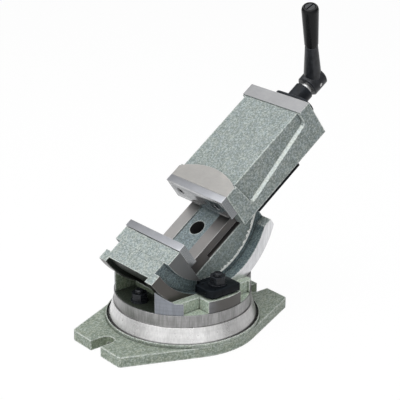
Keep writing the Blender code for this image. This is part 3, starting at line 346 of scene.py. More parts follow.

# %% [markdown]
# The base is a greener batch of the paint. The swivel plate is worn where the clamps are set. Its end
# pockets are painted dark green, and nearly black on the floor, as painted shade in the recesses.

# %% Mix the enamels of the base and the swivel
BASE_ENAMEL = enamel("green_base_enamel", (0.365, 0.408, 0.347), (0.100, 0.131, 0.096), fleck=0.45)
SWIVEL_ENAMEL = enamel("worn_swivel_enamel", (0.480, 0.540, 0.460), (0.190, 0.240, 0.180), fleck=0.6,
                       wear=1.0)
# Painted shade: the pockets and the ear slots are darker than the paint outside.
SHADED_POCKET_ENAMEL = enamel("pocket_enamel_with_painted_shade", (0.230, 0.275, 0.200), (0.080, 0.105, 0.068),
                       fleck=0.15, wear=0.7)
POCKET_FLOOR_SHADE = enamel("pocket_floor_painted_shade", (0.032, 0.040, 0.029), (0.010, 0.014, 0.009), fleck=0.05,
                      wear=0.3)
print("mixed", BASE_ENAMEL.name, SWIVEL_ENAMEL.name, SHADED_POCKET_ENAMEL.name, POCKET_FLOOR_SHADE.name)

# %% [markdown]
# The jaw plates, the rails and the pads on the sliding jaw are ground. A grinding wheel leaves fine
# straight scratches, all one way, and the faces look a soft warm or bluish grey. An anisotropic
# shader could give the sheen but not the scratches. Here the noise is stretched along them, by
# making the coordinate small in that direction.

# %% Write the recipe for ground steel
GROUND_EDGE = (0.75, 0.75, 0.76)
DARKENED = (0.12, 0.11, 0.105)


def ground(name, colour, scratches, warm, roughness=0.36, metal=0.85, darkening=None):
    """A ground face with scratches that run along one direction of the vise."""
    steel = Finish(name)
    stretch = Vector((1, 1, 1)) - Vector([abs(value) for value in scratches]) * 0.96
    lines = steel.noise(0.00035, 2.0, 0.6, steel.vector("MULTIPLY", steel.place(), tuple(stretch)))
    cloud = steel.noise(0.02, 3.0, 0.5)
    tone = lines * 0.55 + cloud * 0.45
    shade = steel.blend(tone.fade(0.3, 0.7), times(colour, 0.84), colour)
    shade = steel.blend(cloud.fade(0.45, 0.75) * 0.35, shade, warm)
    if darkening:
        shade = steel.blend(darkening(steel), shade, DARKENED)
    shade = steel.corner_shade_and_rubbed_edges(shade, 0.5, GROUND_EDGE)
    return steel.surface(Base_Color=shade, Metallic=metal, Roughness=roughness + 0.12 * lines,
                         Normal=steel.bump(lines, 0.00001))


print("the recipe for ground steel is ready")

# %% [markdown]
# The jaw plates are hardened and ground bluish on top, and finer on the faces that grip, which are
# painted darker as a reflection of the bed they mirror. The round pad is ground on the iron itself, so
# it is warmer, and the rear strip has dulled. On the rails the scratches run along the bed, and the
# right rail is darker, which is a mask that changes at the middle of the bed.

# %% Grind the plates, the pads and the rails


def darker_right_rail(steel):
    """The right rail is darker than the left."""
    return (1 - steel.distance(SIDEWAYS).fade(-0.005, 0.005)) * 0.42


GROUND_PLATE = ground("ground_jaw_plate", (0.430, 0.440, 0.470), SIDEWAYS, (0.44, 0.445, 0.455), 0.26, 0.95)
# Painted reflection: the gripping faces are darker than the tops.
GRIPPING_FACE_REFLECTION = ground("ground_gripping_face_painted_reflection", (0.225, 0.235, 0.243), SIDEWAYS, (0.24, 0.24, 0.25), 0.20,
                       0.95)
GROUND_PAD = ground("ground_casting_face", (0.425, 0.415, 0.400), SIDEWAYS, (0.50, 0.47, 0.43))
GROUND_STRIP = ground("ground_rear_strip", (0.345, 0.347, 0.355), SIDEWAYS, (0.36, 0.36, 0.36))
GROUND_RAIL = ground("ground_rails", (0.450, 0.440, 0.435), ALONG, (0.44, 0.41, 0.39), 0.26, 0.95,
                     darker_right_rail)
print("ground", GROUND_PLATE.name, GRIPPING_FACE_REFLECTION.name, GROUND_PAD.name, GROUND_STRIP.name,
      GROUND_RAIL.name)

# %% [markdown]
# Below the rails and beside the fixed jaw the iron is milled and then left bare, so it has gone brown
# and dull, and the block beside the fixed jaw is also painted darker as shade. The core hole is
# painted black, as the shade deep inside the casting. The feed nut is bronze, because a steel screw
# in a steel nut would seize. All of them use the recipe for ground steel, in other colours and less
# shiny.

# %% Mill the sides and the feed nut
UPRIGHT = (0, 0, 1)
# The block side is painted dark as shade, and the core hole black as shade.
SHADED_BLOCK_SIDE = ground("milled_block_side_with_painted_shade", (0.135, 0.140, 0.142), UPRIGHT, (0.15, 0.15, 0.145), 0.45)
DARK_SIDE = ground("oxidised_rail_side", (0.085, 0.080, 0.078), ALONG, (0.12, 0.10, 0.085), 0.5, 0.5)
CORE_BLACK = ground("black_core_hole", (0.008, 0.008, 0.008), UPRIGHT, (0.012, 0.012, 0.011), 0.8, 0.0)
NUT_METAL = ground("machined_bronze", (0.50, 0.34, 0.15), SIDEWAYS, (0.42, 0.27, 0.12), 0.34, 0.95)
print("milled", SHADED_BLOCK_SIDE.name, DARK_SIDE.name, CORE_BLACK.name, NUT_METAL.name)

# %% [markdown]
# The swivel's rim, the bevelled ring of the base and the rocker's flanges are turned on a lathe. The
# tool leaves rings about the axis, so the noise here depends only on the height and the distance
# from the axis: the angle doesn't come into it. A picture of rings would need its own unwrapping on
# each piece. Small pits of the casting show as dark specks, and wiping leaves upright streaks.

# %% Write the recipe for turned steel
TURNED_SHADE = (0.085, 0.080, 0.075)
CASTING_PIT = (0.10, 0.10, 0.10)
DULL_SPOT = (0.22, 0.21, 0.20)
TURNED_EDGE = (0.8, 0.8, 0.8)


def wiped(steel):
    """Upright streaks, fine ones over broad ones."""
    plan = steel.vector("MULTIPLY", steel.place(), (1, 1, 0.12))
    fine = steel.noise(0.0022, 3.0, 0.6, plan).fade(0.35, 0.65)
    broad = steel.noise(0.024, 3.0, 0.5, plan).fade(0.40, 0.60)
    return fine * 0.6 + broad * 0.4


def turned(name, colour, centre, axis, roughness=0.27, metal=0.95, pits=0.0, darkening=None, streaks=0.0):
    """A turned face with fine rings, marks where the tool paused, and streaks where it was wiped."""
    steel = Finish(name)
    radius, height = steel.rings(centre, axis)
    profile = steel.node("ShaderNodeCombineXYZ", None, {0: radius, 1: height})
    fine = steel.noise(0.00045, 2.0, 0.7, profile)
    coarse = steel.noise(0.0032, 2.0, 0.5, profile)
    cloud = steel.noise(0.016, 3.0, 0.6)
    tone = fine * 0.5 + coarse * 0.3 + cloud * 0.2
    shade = steel.blend(tone.fade(0.35, 0.65), times(colour, 0.80), colour)
    shade = steel.blend(steel.noise(0.0045, 3.0, 0.6).fade(0.66, 0.76) * 0.35, shade, DULL_SPOT)
    if streaks:
        shade = steel.blend(wiped(steel) * streaks, shade, times(colour, 0.42))
    # Painted shade, where a darkening mask is given.
    if darkening:
        shade = steel.blend(darkening(steel), shade, TURNED_SHADE)
    if pits:
        specks = (1 - steel.spots(0.0045).fade(0.08, 0.16)) * cloud.fade(0.50, 0.60)
        shade = steel.blend(specks * pits, shade, CASTING_PIT)
    shade = steel.corner_shade_and_rubbed_edges(shade, 0.4, TURNED_EDGE)
    return steel.surface(Base_Color=shade, Metallic=metal, Roughness=roughness + 0.14 * cloud,
                         Normal=steel.bump(fine * 0.6 + coarse * 0.4, 0.00003))


print("the recipe for turned steel is ready")

# %% [markdown]
# How dark a turned face looks is partly painted shade. The part of the flanges that lies in the
# cradle is painted brown and dark, the cheeks are painted darker towards the clamps, and the ring
# below is painted darker as a reflection. Each is a mask that grows along one direction, and noise
# breaks the border where it shows.

# %% Say where the painted shade goes
FORWARD = (1, 0, 0)


def flange_end_shade(steel):
    """Painted shade: the end of the flange that lies in the cradle is brown and dark."""
    return 1 - (steel.distance(FORWARD) + steel.noise(0.01) * 0.02).fade(-0.02, 0.06)


def cheek_right_shade(steel):
    """Painted shade: the cheeks are darker towards the clamps' right ends."""
    return (steel.distance(FORWARD) + steel.noise(0.01) * 0.02).fade(-0.040, 0.005) * 0.98


def ring_right_reflection(steel):
    """Painted reflection: the ring is darker below the right clamp."""
    return steel.distance((0.77, -0.64, 0)).fade(0.040, 0.082) * 0.42


print("three painted shades ready")

# %% [markdown]
# The lead screw is turned too, and its rings run about its own line. The record gives a mount in the
# middle of the fixed jaw's clamping face. Taken down to the rails, that is a good start to measure
# from: the screw lies a fixed distance above it and runs along the bed.

# %% Find the screw's line
mounts = {mount["name"]: mount for mount in frame["record"]["mounts"]}
FACE_UP = 0.0256
SCREW_UP = 0.0138
BED_START = Vector(mounts["fixed_jaw_face"]["pos_m"]) - UP * FACE_UP
SCREW_LINE = BED_START + UP * SCREW_UP
print("the screw's line passes through", [round(value, 4) for value in SCREW_LINE])

# %% [markdown]
# The ring was wiped clean and shines most. The rim above it is duller, the cheeks have the blue-grey
# of iron that is touched often, and the seat is worn smooth by the flanges that slide on it. The
# first three turn about the swivel's axis, the seat and the flanges about the tilt axis.

# %% Turn the ring, the rim, the cheeks, the flanges and the screw
CENTRE = (0, 0, 0)
RING_STEEL = turned("turned_base_ring", (0.88, 0.875, 0.87), CENTRE, UPRIGHT, 0.22, pits=0.9,
                    darkening=ring_right_reflection, streaks=0.4)
RIM_STEEL = turned("turned_swivel_rim", (0.40, 0.397, 0.395), CENTRE, UPRIGHT, 0.28, streaks=0.8)
CHEEK_STEEL = turned("turned_cradle_cheek", (0.275, 0.292, 0.325), CENTRE, UPRIGHT, 0.36, 0.6,
                     darkening=cheek_right_shade, streaks=0.4)
SEAT_STEEL = turned("bored_cradle_seat", (0.20, 0.20, 0.20), TILT_AXIS, ACROSS, 0.4)
FLANGE_STEEL = turned("turned_rocker_flange", (0.78, 0.785, 0.80), TILT_AXIS, ACROSS, 0.24,
                      darkening=flange_end_shade, streaks=0.45)
BRIGHT_BAR = turned("bright_screw_steel", (0.55, 0.55, 0.55), SCREW_LINE, ALONG, 0.25)
print("turned", RING_STEEL.name, RIM_STEEL.name, CHEEK_STEEL.name, SEAT_STEEL.name, FLANGE_STEEL.name,
      BRIGHT_BAR.name)

# %% [markdown]
# Nuts, clamps, keepers and the crank are blackened: steel with a thin black oxide. It is nearly black,
# a little blue, and its gloss changes from place to place where oil has stayed. Black paint would
# hide the steel, but the oxide wears through on edges, so those are lighter, and the lighter edges
# are also a painted highlight. The machined nuts shine most, and the flat clamps least.

# %% Blacken the steel


def blackened(name, colour, roughness, grain=0.0009, shine=0.14):
    """Black oxide over machined or forged steel."""
    steel = Finish(name)
    cloud = steel.noise(0.007, 3.0, 0.6)
    fine = steel.noise(grain, 2.0, 0.5)
    shade = steel.blend(cloud.fade(0.35, 0.7), colour, times(colour, 1.9))
    # Lighter edges: worn oxide, and also a painted highlight.
    shade = steel.blend(steel.edges(0.0007) * 0.6, shade, times(colour, 6.0))
    return steel.surface(Base_Color=shade, Metallic=0.1, Roughness=roughness + 0.2 * cloud,
                         Specular_IOR_Level=shine, Normal=steel.bump(fine, 0.00003))


BLACK_STEEL = blackened("black_oxide_steel", (0.0040, 0.0052, 0.0066), 0.20, shine=0.08)
BLACK_BOLT = blackened("black_oxide_screws", (0.0085, 0.0095, 0.0115), 0.17, shine=0.30)
BLACK_FORGING = blackened("black_forged_arm", (0.013, 0.014, 0.0165), 0.22, 0.0012, 0.28)
BLACK_CASTING = blackened("black_bearing_casting", (0.0065, 0.0080, 0.0105), 0.22, shine=0.16)
# Painted shade: the groove round the ring's foot is painted black.
GROOVE_SHADE_BLACK = blackened("foot_groove_painted_shade", (0.008, 0.0085, 0.008), 0.7)
print("blackened", BLACK_STEEL.name, BLACK_BOLT.name, BLACK_FORGING.name, BLACK_CASTING.name,
      GROOVE_SHADE_BLACK.name)

# %% [markdown]
# The grip is black moulded plastic. Moulding leaves a faint orange peel in the gloss, and use leaves
# small grey scuffs, which are duller than the rest. Two noises of different size give both.

# %% Mould the grip
plastic = Finish("glossy_black_plastic")
orange_peel = plastic.noise(0.0025, 2.0, 0.5)
scuffs = plastic.noise(0.0012, 4.0, 0.7)
shell = plastic.blend(scuffs.fade(0.62, 0.8) * 0.4, (0.006, 0.006, 0.0065), (0.024, 0.024, 0.025))
plastic.round_off(0.0012)
GRIP_BLACK = plastic.surface(Base_Color=shell, Roughness=0.20 + 0.2 * scuffs.fade(0.5, 0.8),
                             Specular_IOR_Level=0.15, Normal=plastic.bump(orange_peel, 0.00004))
print("moulded", GRIP_BLACK.name)

# %% [markdown]
# A casting has paint, machined faces and dark recesses on one piece of iron. The edge between them is
# where the cutter stopped, so it follows the faces of the solid. A painted mask would blur there.
# Each face is sorted by where all its corners lie and which way it looks, and gets the number of its
# finish. The shape of the mesh isn't touched.

# %% Say where a face lies


class Face:
    """The corners of one face and the way it looks."""

    def __init__(self, mesh, polygon):
        self.corners = [mesh.vertices[index].co for index in polygon.vertices]
        self.look = polygon.normal

    def within(self, measure, low, high):
        """True if the measure is between low and high at every corner."""
        return all(low < measure(corner) < high for corner in self.corners)

    def inside(self, measure, limit):
        """True if the measure is below the limit at every corner."""
        return all(measure(corner) < limit for corner in self.corners)

    def beyond(self, measure, limit):
        """True if the measure is above the limit at every corner."""
        return all(measure(corner) > limit for corner in self.corners)

    def at(self, measure, level, slack=0.0005):
        """True if every corner is at the level, give or take a slack."""
        return self.within(measure, level - slack, level + slack)

    def looks(self, direction):
        return self.look.dot(Vector(direction)) > 0.9

    def looks_sideways(self):
        return abs(self.look.y) > 0.9

    def looks_level(self, slack):
        """True if the face looks level, to within a slack, as an upright wall does."""
        return abs(self.look.z) < slack


print("a face knows its corners and where it looks")

# %% Give each face its finish


def dress(name, finishes, choose):
    """Gives each face of a piece the finish that choose(face) names."""
    mesh = nodes[name].data
    mesh.materials.clear()
    order = list(finishes)
    for material in finishes.values():
        mesh.materials.append(material)
    for polygon in mesh.polygons:
        polygon.material_index = order.index(choose(Face(mesh, polygon)))
    counts = {key: sum(polygon.material_index == index for polygon in mesh.polygons)
              for index, key in enumerate(order)}
    print(name, counts)


print("ready to dress the castings and the plates")

# %% [markdown]
# Nearly every face of the castings is cut either along the bed or about one of two axes: the tilt
# axis, across the vise, and the swivel's axis, upright in its middle. Distances along and above the
# bed and from these axes say which cut made a face.

# %% Measure from the vise's axes


def along(point):
    """How far a point lies along the bed from the fixed jaw's clamping face."""
    return (point - BED_START).dot(ALONG)


def up(point):
    """How far a point lies above the rails, square to them."""
    return (point - BED_START).dot(UP)


def from_tilt_axis(point):
    away = point - TILT_AXIS
    return math.hypot(away.x, away.z)


def from_swivel_axis(point):
    return math.hypot(point.x, point.y)


def from_middle(point):
    return abs(point.y)


def from_centre_line(point):
    return abs(point.x)


def height(point):
    return point.z


print("tilt axis", round(TILT_AXIS.z, 4), "above the floor")

# %% [markdown]
# The rocker bed has the most finishes. Its rails are ground, the channel between them is painted, the
# core hole is dark, the flanges and their ends are turned, and the walls, ledges and relief have
# paint of different tones. The tests go from the most particular to the most general.

# %% Sort the faces of the rocker bed
CORE_HOLE_ALONG = 0.0428
CORE_HOLE_RADIUS = 0.0100
CHANNEL_FLOOR = -0.0017
RAIL_FOOT = -0.0170
SLOT_BOTTOM = -0.0180
WALL_SIDE = 0.0360
WALL_RADIUS = 0.0822
LEDGE_RADIUS = 0.0882
SCOOP_RADIUS = 0.0720
FLANGE_EDGE = 0.1015
JAW_TOP = 0.0386
ROUND_SLACK = 0.0007  # the facets of a round face dip inside its radius


def from_core_hole(point):
    return math.hypot(along(point) - CORE_HOLE_ALONG, point.y)


def bed_finish(face):
    """Rails, channel, side walls, flanges and the fixed jaw."""
    if face.looks(UP) and face.at(up, 0.0, 0.0004):
        return "rail"
    if face.inside(from_core_hole, CORE_HOLE_RADIUS) and face.inside(up, -0.0012):
        return "hole"
    if face.looks(UP) and face.at(up, CHANNEL_FLOOR):
        return "channel"
    if face.within(up, RAIL_FOOT, 0.0004) and face.within(from_middle, 0.0275, 0.0352):
        return "rail" if face.looks(ALONG) or face.inside(from_middle, 0.0345) else "slot"
    if face.beyond(from_tilt_axis, FLANGE_EDGE):
        return "flange"
    if face.looks_sideways() and face.within(from_middle, 0.0494, 0.0499):
        return "flange"
    if face.looks_sideways() and face.within(from_middle, 0.0499, 0.0502):
        return "block"
    if face.within(from_tilt_axis, 0.0955, 0.1028) and face.inside(from_middle, 0.0373):
        return "relief"
    if face.looks_sideways() and face.at(from_middle, WALL_SIDE):
        return "wall"
    if face.at(from_tilt_axis, LEDGE_RADIUS, ROUND_SLACK) or face.at(from_tilt_axis, SCOOP_RADIUS):
        return "ledge"
    if face.looks_sideways() and face.within(from_middle, 0.0345, 0.0415) and face.inside(up, JAW_TOP):
        return "ledge"
    if face.at(from_tilt_axis, WALL_RADIUS, ROUND_SLACK):
        return "wall"
    if face.within(up, SLOT_BOTTOM, 0.0) and face.looks(-UP):
        return "slot"
    return "enamel"


dress("vise_bed", {"enamel": BED_ENAMEL, "rail": GROUND_RAIL, "hole": CORE_BLACK, "channel": CHANNEL_ENAMEL,
                   "slot": DARK_SIDE, "flange": FLANGE_STEEL, "block": SHADED_BLOCK_SIDE, "relief": RELIEF_SHADE_ENAMEL,
                   "wall": SHADED_WALL_ENAMEL, "ledge": SHADED_LEDGE_ENAMEL}, bed_finish)

# %% [markdown]
# The sliding jaw is painted all round. On top, the round pad behind its plate and the strip at its
# rear end are ground flush with the plates. The long ledges on its sides are rubbed pale and painted
# lighter still as a highlight, and the underside, which runs on the rails, is bare.

# %% Sort the faces of the sliding jaw
GROUND_TOP = 0.0404
REAR_STRIP = 0.150


def jaw_finish(face):
    """Pad and strip on top of the sliding jaw, its side ledges and its underside."""
    if face.looks(UP) and face.at(up, GROUND_TOP, 0.0006):
        return "strip" if face.beyond(along, REAR_STRIP) else "pad"
    if 0.1 < abs(face.look.y) < 0.6 and face.look.dot(UP) > 0.75 and face.within(from_middle, 0.044, 0.0505):
        return "ledge"
    if face.within(up, -0.0110, 0.0295) and face.inside(from_middle, 0.0365):
        return "under"
    return "under" if face.looks(-UP) else "enamel"


dress("movable_jaw", {"enamel": JAW_ENAMEL, "pad": GROUND_PAD, "strip": GROUND_STRIP, "ledge": PALE_LEDGE_AND_HIGHLIGHT,
                      "under": DARK_SIDE}, jaw_finish)

# %% [markdown]
# The jaw plates are plain hardened bars, held by two screws each. Their tops are ground together with
# the jaws, and the other faces are ground finer before they are screwed on.

# %% Sort the faces of the jaw plates


def plate_finish(face):
    return "top" if face.looks(UP) else "grip"


for plate in ("fixed_jaw_plate", "movable_jaw_plate"):
    dress(plate, {"top": GROUND_PLATE, "grip": GRIPPING_FACE_REFLECTION}, plate_finish)

# %% [markdown]
# The swivel plate turns on the base. A turned rim runs round its foot, and above it stand the cradle's
# cheeks, turned in the same cut. The cradle's seat is bored about the tilt axis to fit the flanges.
# The pockets at both ends leave room for the nuts that lock the swivel.

# %% Sort the faces of the swivel plate
DOWN = (0, 0, -1)
SEAT_RADIUS = 0.1024
PIN_HOLE = 0.02
RIM_TOP = 0.0478
POCKET_LEVEL = 0.0478


def swivel_finish(face):
    """Rim, cheeks, cradle and end pockets of the swivel plate."""
    if face.at(from_tilt_axis, SEAT_RADIUS, 0.0004) and not face.looks_sideways():
        return "seat"
    if face.within(from_swivel_axis, 0.0795, 0.0816) and face.looks_level(0.1):
        return "rim" if face.within(height, 0.033, RIM_TOP) else "cheek"
    if face.looks(UPRIGHT) and face.within(height, 0.0474, 0.0477):
        return "rim"
    if face.within(height, 0.0470, 0.0745) and face.within(from_centre_line, 0.0410, 0.1):
        if face.at(height, POCKET_LEVEL, 0.0004):
            return "floor"
        if face.inside(from_middle, 0.0376):
            return "pocket"
    if face.looks(DOWN) or face.inside(from_swivel_axis, PIN_HOLE):
        return "rim"
    return "enamel"


dress("swivel_plate", {"enamel": SWIVEL_ENAMEL, "rim": RIM_STEEL, "cheek": CHEEK_STEEL, "seat": SEAT_STEEL,
                       "pocket": SHADED_POCKET_ENAMEL, "floor": POCKET_FLOOR_SHADE}, swivel_finish)

# %% [markdown]
# The base is painted too, apart from the bevelled ring that carries the swivel, the tee slot cut
# into it and the flat underside. A groove runs round the ring's foot, where the tool ran out, and is
# painted black as its shade. The slots of the two ears are painted darker, as shade.

# %% Sort the faces of the base
RING_FOOT = 0.0890
EAR_SLOT = 0.0097


def base_finish(face):
    """Bevelled ring, groove round its foot, tee slot and underside of the base."""
    if face.within(from_swivel_axis, 0.0879, 0.0913) and face.within(height, 0.0130, 0.0167):
        return "enamel" if face.looks(UPRIGHT) and face.within(height, 0.0164, 0.0167) else "groove"
    if face.inside(from_swivel_axis, RING_FOOT) and face.within(height, 0.0100, 0.0334):
        return "ring"
    if face.looks(DOWN) and face.within(height, -0.001, 0.0005):
        return "ring"
    in_slot = face.inside(from_middle, EAR_SLOT) and face.within(from_centre_line, 0.1, 0.1275)
    return "slot" if in_slot and face.looks_level(0.5) else "enamel"


dress("base_plate", {"enamel": BASE_ENAMEL, "ring": RING_STEEL, "groove": GROOVE_SHADE_BLACK, "slot": SHADED_POCKET_ENAMEL},
      base_finish)

# %% [markdown]
# The small pieces have one finish each, so they only need a table. The words in a piece's name say
# whether it is a nut, a washer, a bolt, a stud or a screw.

# %% Finish the small pieces
FASTENER_WORDS = ("nut_", "washer", "bolt", "stud", "_screw_")
FINISHES = {
    BLACK_STEEL: ["tilt_clamp_left", "tilt_clamp_right", "keeper_left", "keeper_right"],
    BLACK_CASTING: ["bearing_flange"],
    BLACK_FORGING: ["crank_arm"],
    BLACK_BOLT: [name for name in nodes if any(word in name for word in FASTENER_WORDS)],
    BRIGHT_BAR: ["lead_screw", "pivot_pin", "hub_pin"],
    NUT_METAL: ["feed_nut"],
    GRIP_BLACK: ["grip"],
}
for material, names in FINISHES.items():
    for name in names:
        nodes[name].data.materials.clear()
        nodes[name].data.materials.append(material)
print("finished", sum(len(names) for names in FINISHES.values()), "small pieces")

# %% [markdown]
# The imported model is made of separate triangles, each flat. Real turned faces shine without a break,
# so the corners are joined again by a Weld modifier, sharp edges are split apart, and a Weighted
# Normal modifier lets the light run smoothly over what is left. Smooth shading alone would smear the
# light over flat faces too. The boxy pieces also get edges that are really rounded, by merging the
# triangles of each flat face first and then bevelling.

# %% Make the modifiers
SAME_POINT = 0.00002


def add_modifier(piece, name, kind, **settings):
    made = piece.modifiers.new(name, kind)
    for key, value in settings.items():
        setattr(made, key, value)


def smooth_shading(piece, sharp=28):
    """Shines smoothly across facets that meet at less than the sharp angle."""
    piece.data.shade_smooth()
    add_modifier(piece, "join corners", "WELD", merge_threshold=SAME_POINT)
    add_modifier(piece, "split sharp edges", "EDGE_SPLIT", split_angle=math.radians(sharp))
    add_modifier(piece, "smooth the rest", "WEIGHTED_NORMAL", weight=50, keep_sharp=True)


def round_edges(piece, width):
    """Rounds the edges of a boxy piece without touching its own mesh."""
    piece.data.shade_smooth()
    add_modifier(piece, "join corners", "WELD", merge_threshold=SAME_POINT)
    add_modifier(piece, "merge flat faces", "DECIMATE", decimate_type="DISSOLVE",
                 angle_limit=math.radians(0.6))
    add_modifier(piece, "soften edges", "BEVEL", width=width, segments=3, limit_method="ANGLE",
                 angle_limit=math.radians(40), harden_normals=True)


print("two sets of modifiers ready")

# %% Smooth the turned faces and round the edges
BOXY = {"fixed_jaw_plate": 0.0004, "movable_jaw_plate": 0.0004, "tilt_clamp_left": 0.0008,
        "tilt_clamp_right": 0.0008, "keeper_left": 0.0003, "keeper_right": 0.0003, "feed_nut": 0.0004}
for name in nodes:
    if name in BOXY:
        round_edges(nodes[name], BOXY[name])
    else:
        smooth_shading(nodes[name])
print("rounded", len(BOXY), "boxy pieces, smoothed", len(nodes) - len(BOXY), "others")

# %% [markdown]
# The CAD model leaves the threads out, because plain cylinders are lighter to calculate. Here they are
# cut for real. A Screw modifier could sweep a tooth, but it leaves open ends. A threaded bar is
# instead a lathe profile whose radius also depends on the angle, so that the groove climbs by one
# pitch in each turn. The rows of points are close together along the thread and far apart elsewhere,
# and the groove fades in over its first turn, as it does where a tool enters.

# %% Shape the groove
ROWS_A_TURN = 8


def groove(turns, flat):
    """How deep the thread is, from 0 on the crest to 1 at the root, after some turns."""
    part = turns % 1.0
    rise = (1.0 - 2.0 * flat) / 2.0
    if part < flat:
        return 0.0
    if part < flat + rise:
        return (part - flat) / rise
    if part < 2.0 * flat + rise:
        return 1.0
    return (1.0 - part) / rise


def levels(outline, thread_start, thread_end, pitch):
    """Pairs of distance and radius along the outline, close together along the thread."""
    rows = []
    gap = pitch / ROWS_A_TURN
    for (first, first_radius), (last, last_radius) in zip(outline, outline[1:]):
        rows.append((first, first_radius))
        for step in range(1, int((last - first) / gap)):
            distance = first + step * gap
            if thread_start <= distance <= thread_end:
                share = (distance - first) / (last - first)
                rows.append((distance, first_radius + (last_radius - first_radius) * share))
    rows.append(outline[-1])
    return rows


print("half a turn on, the groove is cut to", groove(0.5, 0.3), "of its depth")

# %% Cut a threaded bar


def threaded_bar(start, axis, outline, thread, sides):
    """A lathe profile with a thread on it. The thread is (start, end, pitch, depth, flat)."""
    thread_start, thread_end, pitch, depth, flat = thread
    turn = Vector(UPRIGHT).rotation_difference(Vector(axis)).to_matrix()
    shape = bmesh.new()
    loops = []
    for distance, radius in levels(outline, thread_start, thread_end, pitch):
        edge = min(distance - thread_start, thread_end - distance) / pitch
        strength = depth * min(max(edge, 0.0), 1.0)
        loop = []
        for side in range(sides):
            angle = 2 * math.pi * side / sides
            cut = strength * groove(distance / pitch - side / sides, flat)
            across = Vector((math.cos(angle), math.sin(angle), 0)) * (radius - cut)
            loop.append(shape.verts.new(Vector(start) + turn @ (across + Vector((0, 0, distance)))))
        loops.append(loop)
    for below, above in zip(loops, loops[1:]):
        for side in range(sides):
            after = (side + 1) % sides
            shape.faces.new((below[side], below[after], above[after], above[side]))
    shape.faces.new(list(reversed(loops[0])))
    shape.faces.new(loops[-1])
    return shape


print("the lathe is ready")

# %% [markdown]
# A threaded bar takes the place of the plain one, so it must ride on the same body. The record lists
# which pieces each body carries, and the bar looks its own body up there.

# %% Stand a piece in for its plain CAD solid
BODIES = frame["record"]["behaviour"]["bodies"]
HOME = {node: body for body, carried in BODIES.items() for node in carried}


def stand_in(node, shape, material, sharp):
    """Makes the shape an object that rides where the node rides, and hides the node."""
    mesh = bpy.data.meshes.new("threaded_" + node)
    shape.to_mesh(mesh)
    shape.free()
    mesh.materials.append(material)
    piece = bpy.data.objects.new("threaded_" + node, mesh)
    bpy.context.scene.collection.objects.link(piece)
    smooth_shading(piece, sharp)
    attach(piece, HOME[node])
    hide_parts(node)
    print(piece.name, len(mesh.polygons), "faces, rides on", HOME[node])


print("the lead screw rides on", HOME["lead_screw"])

# %% [markdown]
# The lead screw has a strong thread with flat crests, of 4 mm pitch, where it runs in the nut. Behind
# it are a plain journal, the collar that pulls the jaw back, and the end that carries the crank. The
# distances are measured along the bed, and each name in the outline is a place or a radius.

# %% Thread the lead screw
BAR = 0.0080
JOURNAL = 0.0100
COLLAR = 0.0122
CHAMFER = 0.0012
SCREW_START = 0.0925
THREAD_START = 0.0937
THREAD_END = 0.2090
JOURNAL_START = 0.2098
COLLAR_START = 0.2200
COLLAR_END = 0.2275
SCREW_END = 0.2873
SCREW_PITCH = 0.004
SCREW_DEPTH = 0.0016
SCREW_FLAT = 0.3
lead_outline = [(SCREW_START, BAR - CHAMFER), (THREAD_START, BAR), (JOURNAL_START, BAR),
                (JOURNAL_START, JOURNAL), (COLLAR_START, JOURNAL), (COLLAR_START, COLLAR),
                (COLLAR_END, COLLAR), (COLLAR_END, BAR), (SCREW_END - CHAMFER, BAR),
                (SCREW_END, BAR - CHAMFER)]
screw_thread = (THREAD_START, THREAD_END, SCREW_PITCH, SCREW_DEPTH, SCREW_FLAT)
lead = threaded_bar(SCREW_LINE, ALONG, lead_outline, screw_thread, 32)
stand_in("lead_screw", lead, BRIGHT_BAR, 40)

# %% [markdown]
# The clamps' studs are threaded from end to end, with a fine thread and chamfered ends. Each reaches
# from below its clamp to above its nut, so its length comes from the plain stud's own box.

# %% Thread the clamps' studs
STUD_RADIUS = 0.0050
STUD_EDGE = 0.0010
FINE_PITCH = 0.0015
FINE_DEPTH = 0.0008
FINE_FLAT = 0.12
RUN_OUT = 0.0002


def low_and_high(node):
    """The node's lowest and highest level, and the middle of its plan."""
    low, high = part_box(node)
    return low[2], high[2], ((low[0] + high[0]) / 2, (low[1] + high[1]) / 2)


def fine_bar(middle, bottom, top, thread_bottom):
    """An upright bar with chamfered ends and a fine thread on its upper part."""
    outline = [(bottom, STUD_RADIUS - STUD_EDGE), (bottom + STUD_EDGE, STUD_RADIUS),
               (top - STUD_EDGE, STUD_RADIUS), (top, STUD_RADIUS - STUD_EDGE)]
    thread = (thread_bottom, top - RUN_OUT, FINE_PITCH, FINE_DEPTH, FINE_FLAT)
    return threaded_bar((*middle, 0), UPRIGHT, outline, thread, 24)


for node in ("clamp_stud_left", "clamp_stud_right"):
    bottom, top, middle = low_and_high(node)
    stand_in(node, fine_bar(middle, bottom, top, bottom + 0.0005), BLACK_BOLT, 50)

# %% [markdown]
# The swivel's bolts have a square head that slides in the circular tee slot and a shank that is
# threaded only near its top. The head is a bevelled block in the same mesh as the shank.

# %% Thread the swivel's bolts
HEAD_WIDTH = 0.019
HEAD_THICKNESS = 0.007
HEAD_EDGE = 0.0006
SHANK_START = 0.0065  # a little inside the head
THREAD_LENGTH = 0.0200
for node in ("tee_bolt_front", "tee_bolt_rear"):
    bottom, top, middle = low_and_high(node)
    bolt = fine_bar(middle, bottom + SHANK_START, top, top - THREAD_LENGTH)
    block = Matrix.Diagonal((HEAD_WIDTH, HEAD_WIDTH, HEAD_THICKNESS, 1))
    seated = Matrix.Translation((*middle, bottom + HEAD_THICKNESS / 2)) @ block
    head = bmesh.ops.create_cube(bolt, size=1.0, matrix=seated)["verts"]
    rim = {edge for corner in head for edge in corner.link_edges}
    bmesh.ops.bevel(bolt, geom=list(rim), offset=HEAD_EDGE, segments=2, affect="EDGES")
    stand_in(node, bolt, BLACK_BOLT, 50)

# %% [markdown]
# The vise stands on a pale floor under soft light. A world that is white for every ray would wash out
# the paint. This one shows plain white to the camera only and lights the piece at a lower level, so
# the paint keeps its tone. In a real studio the white boards stand in front of and above the piece,
# and the sides of the room are greyer. Polished steel shows that, so reflections see white boards
# there and a grey room to the sides.

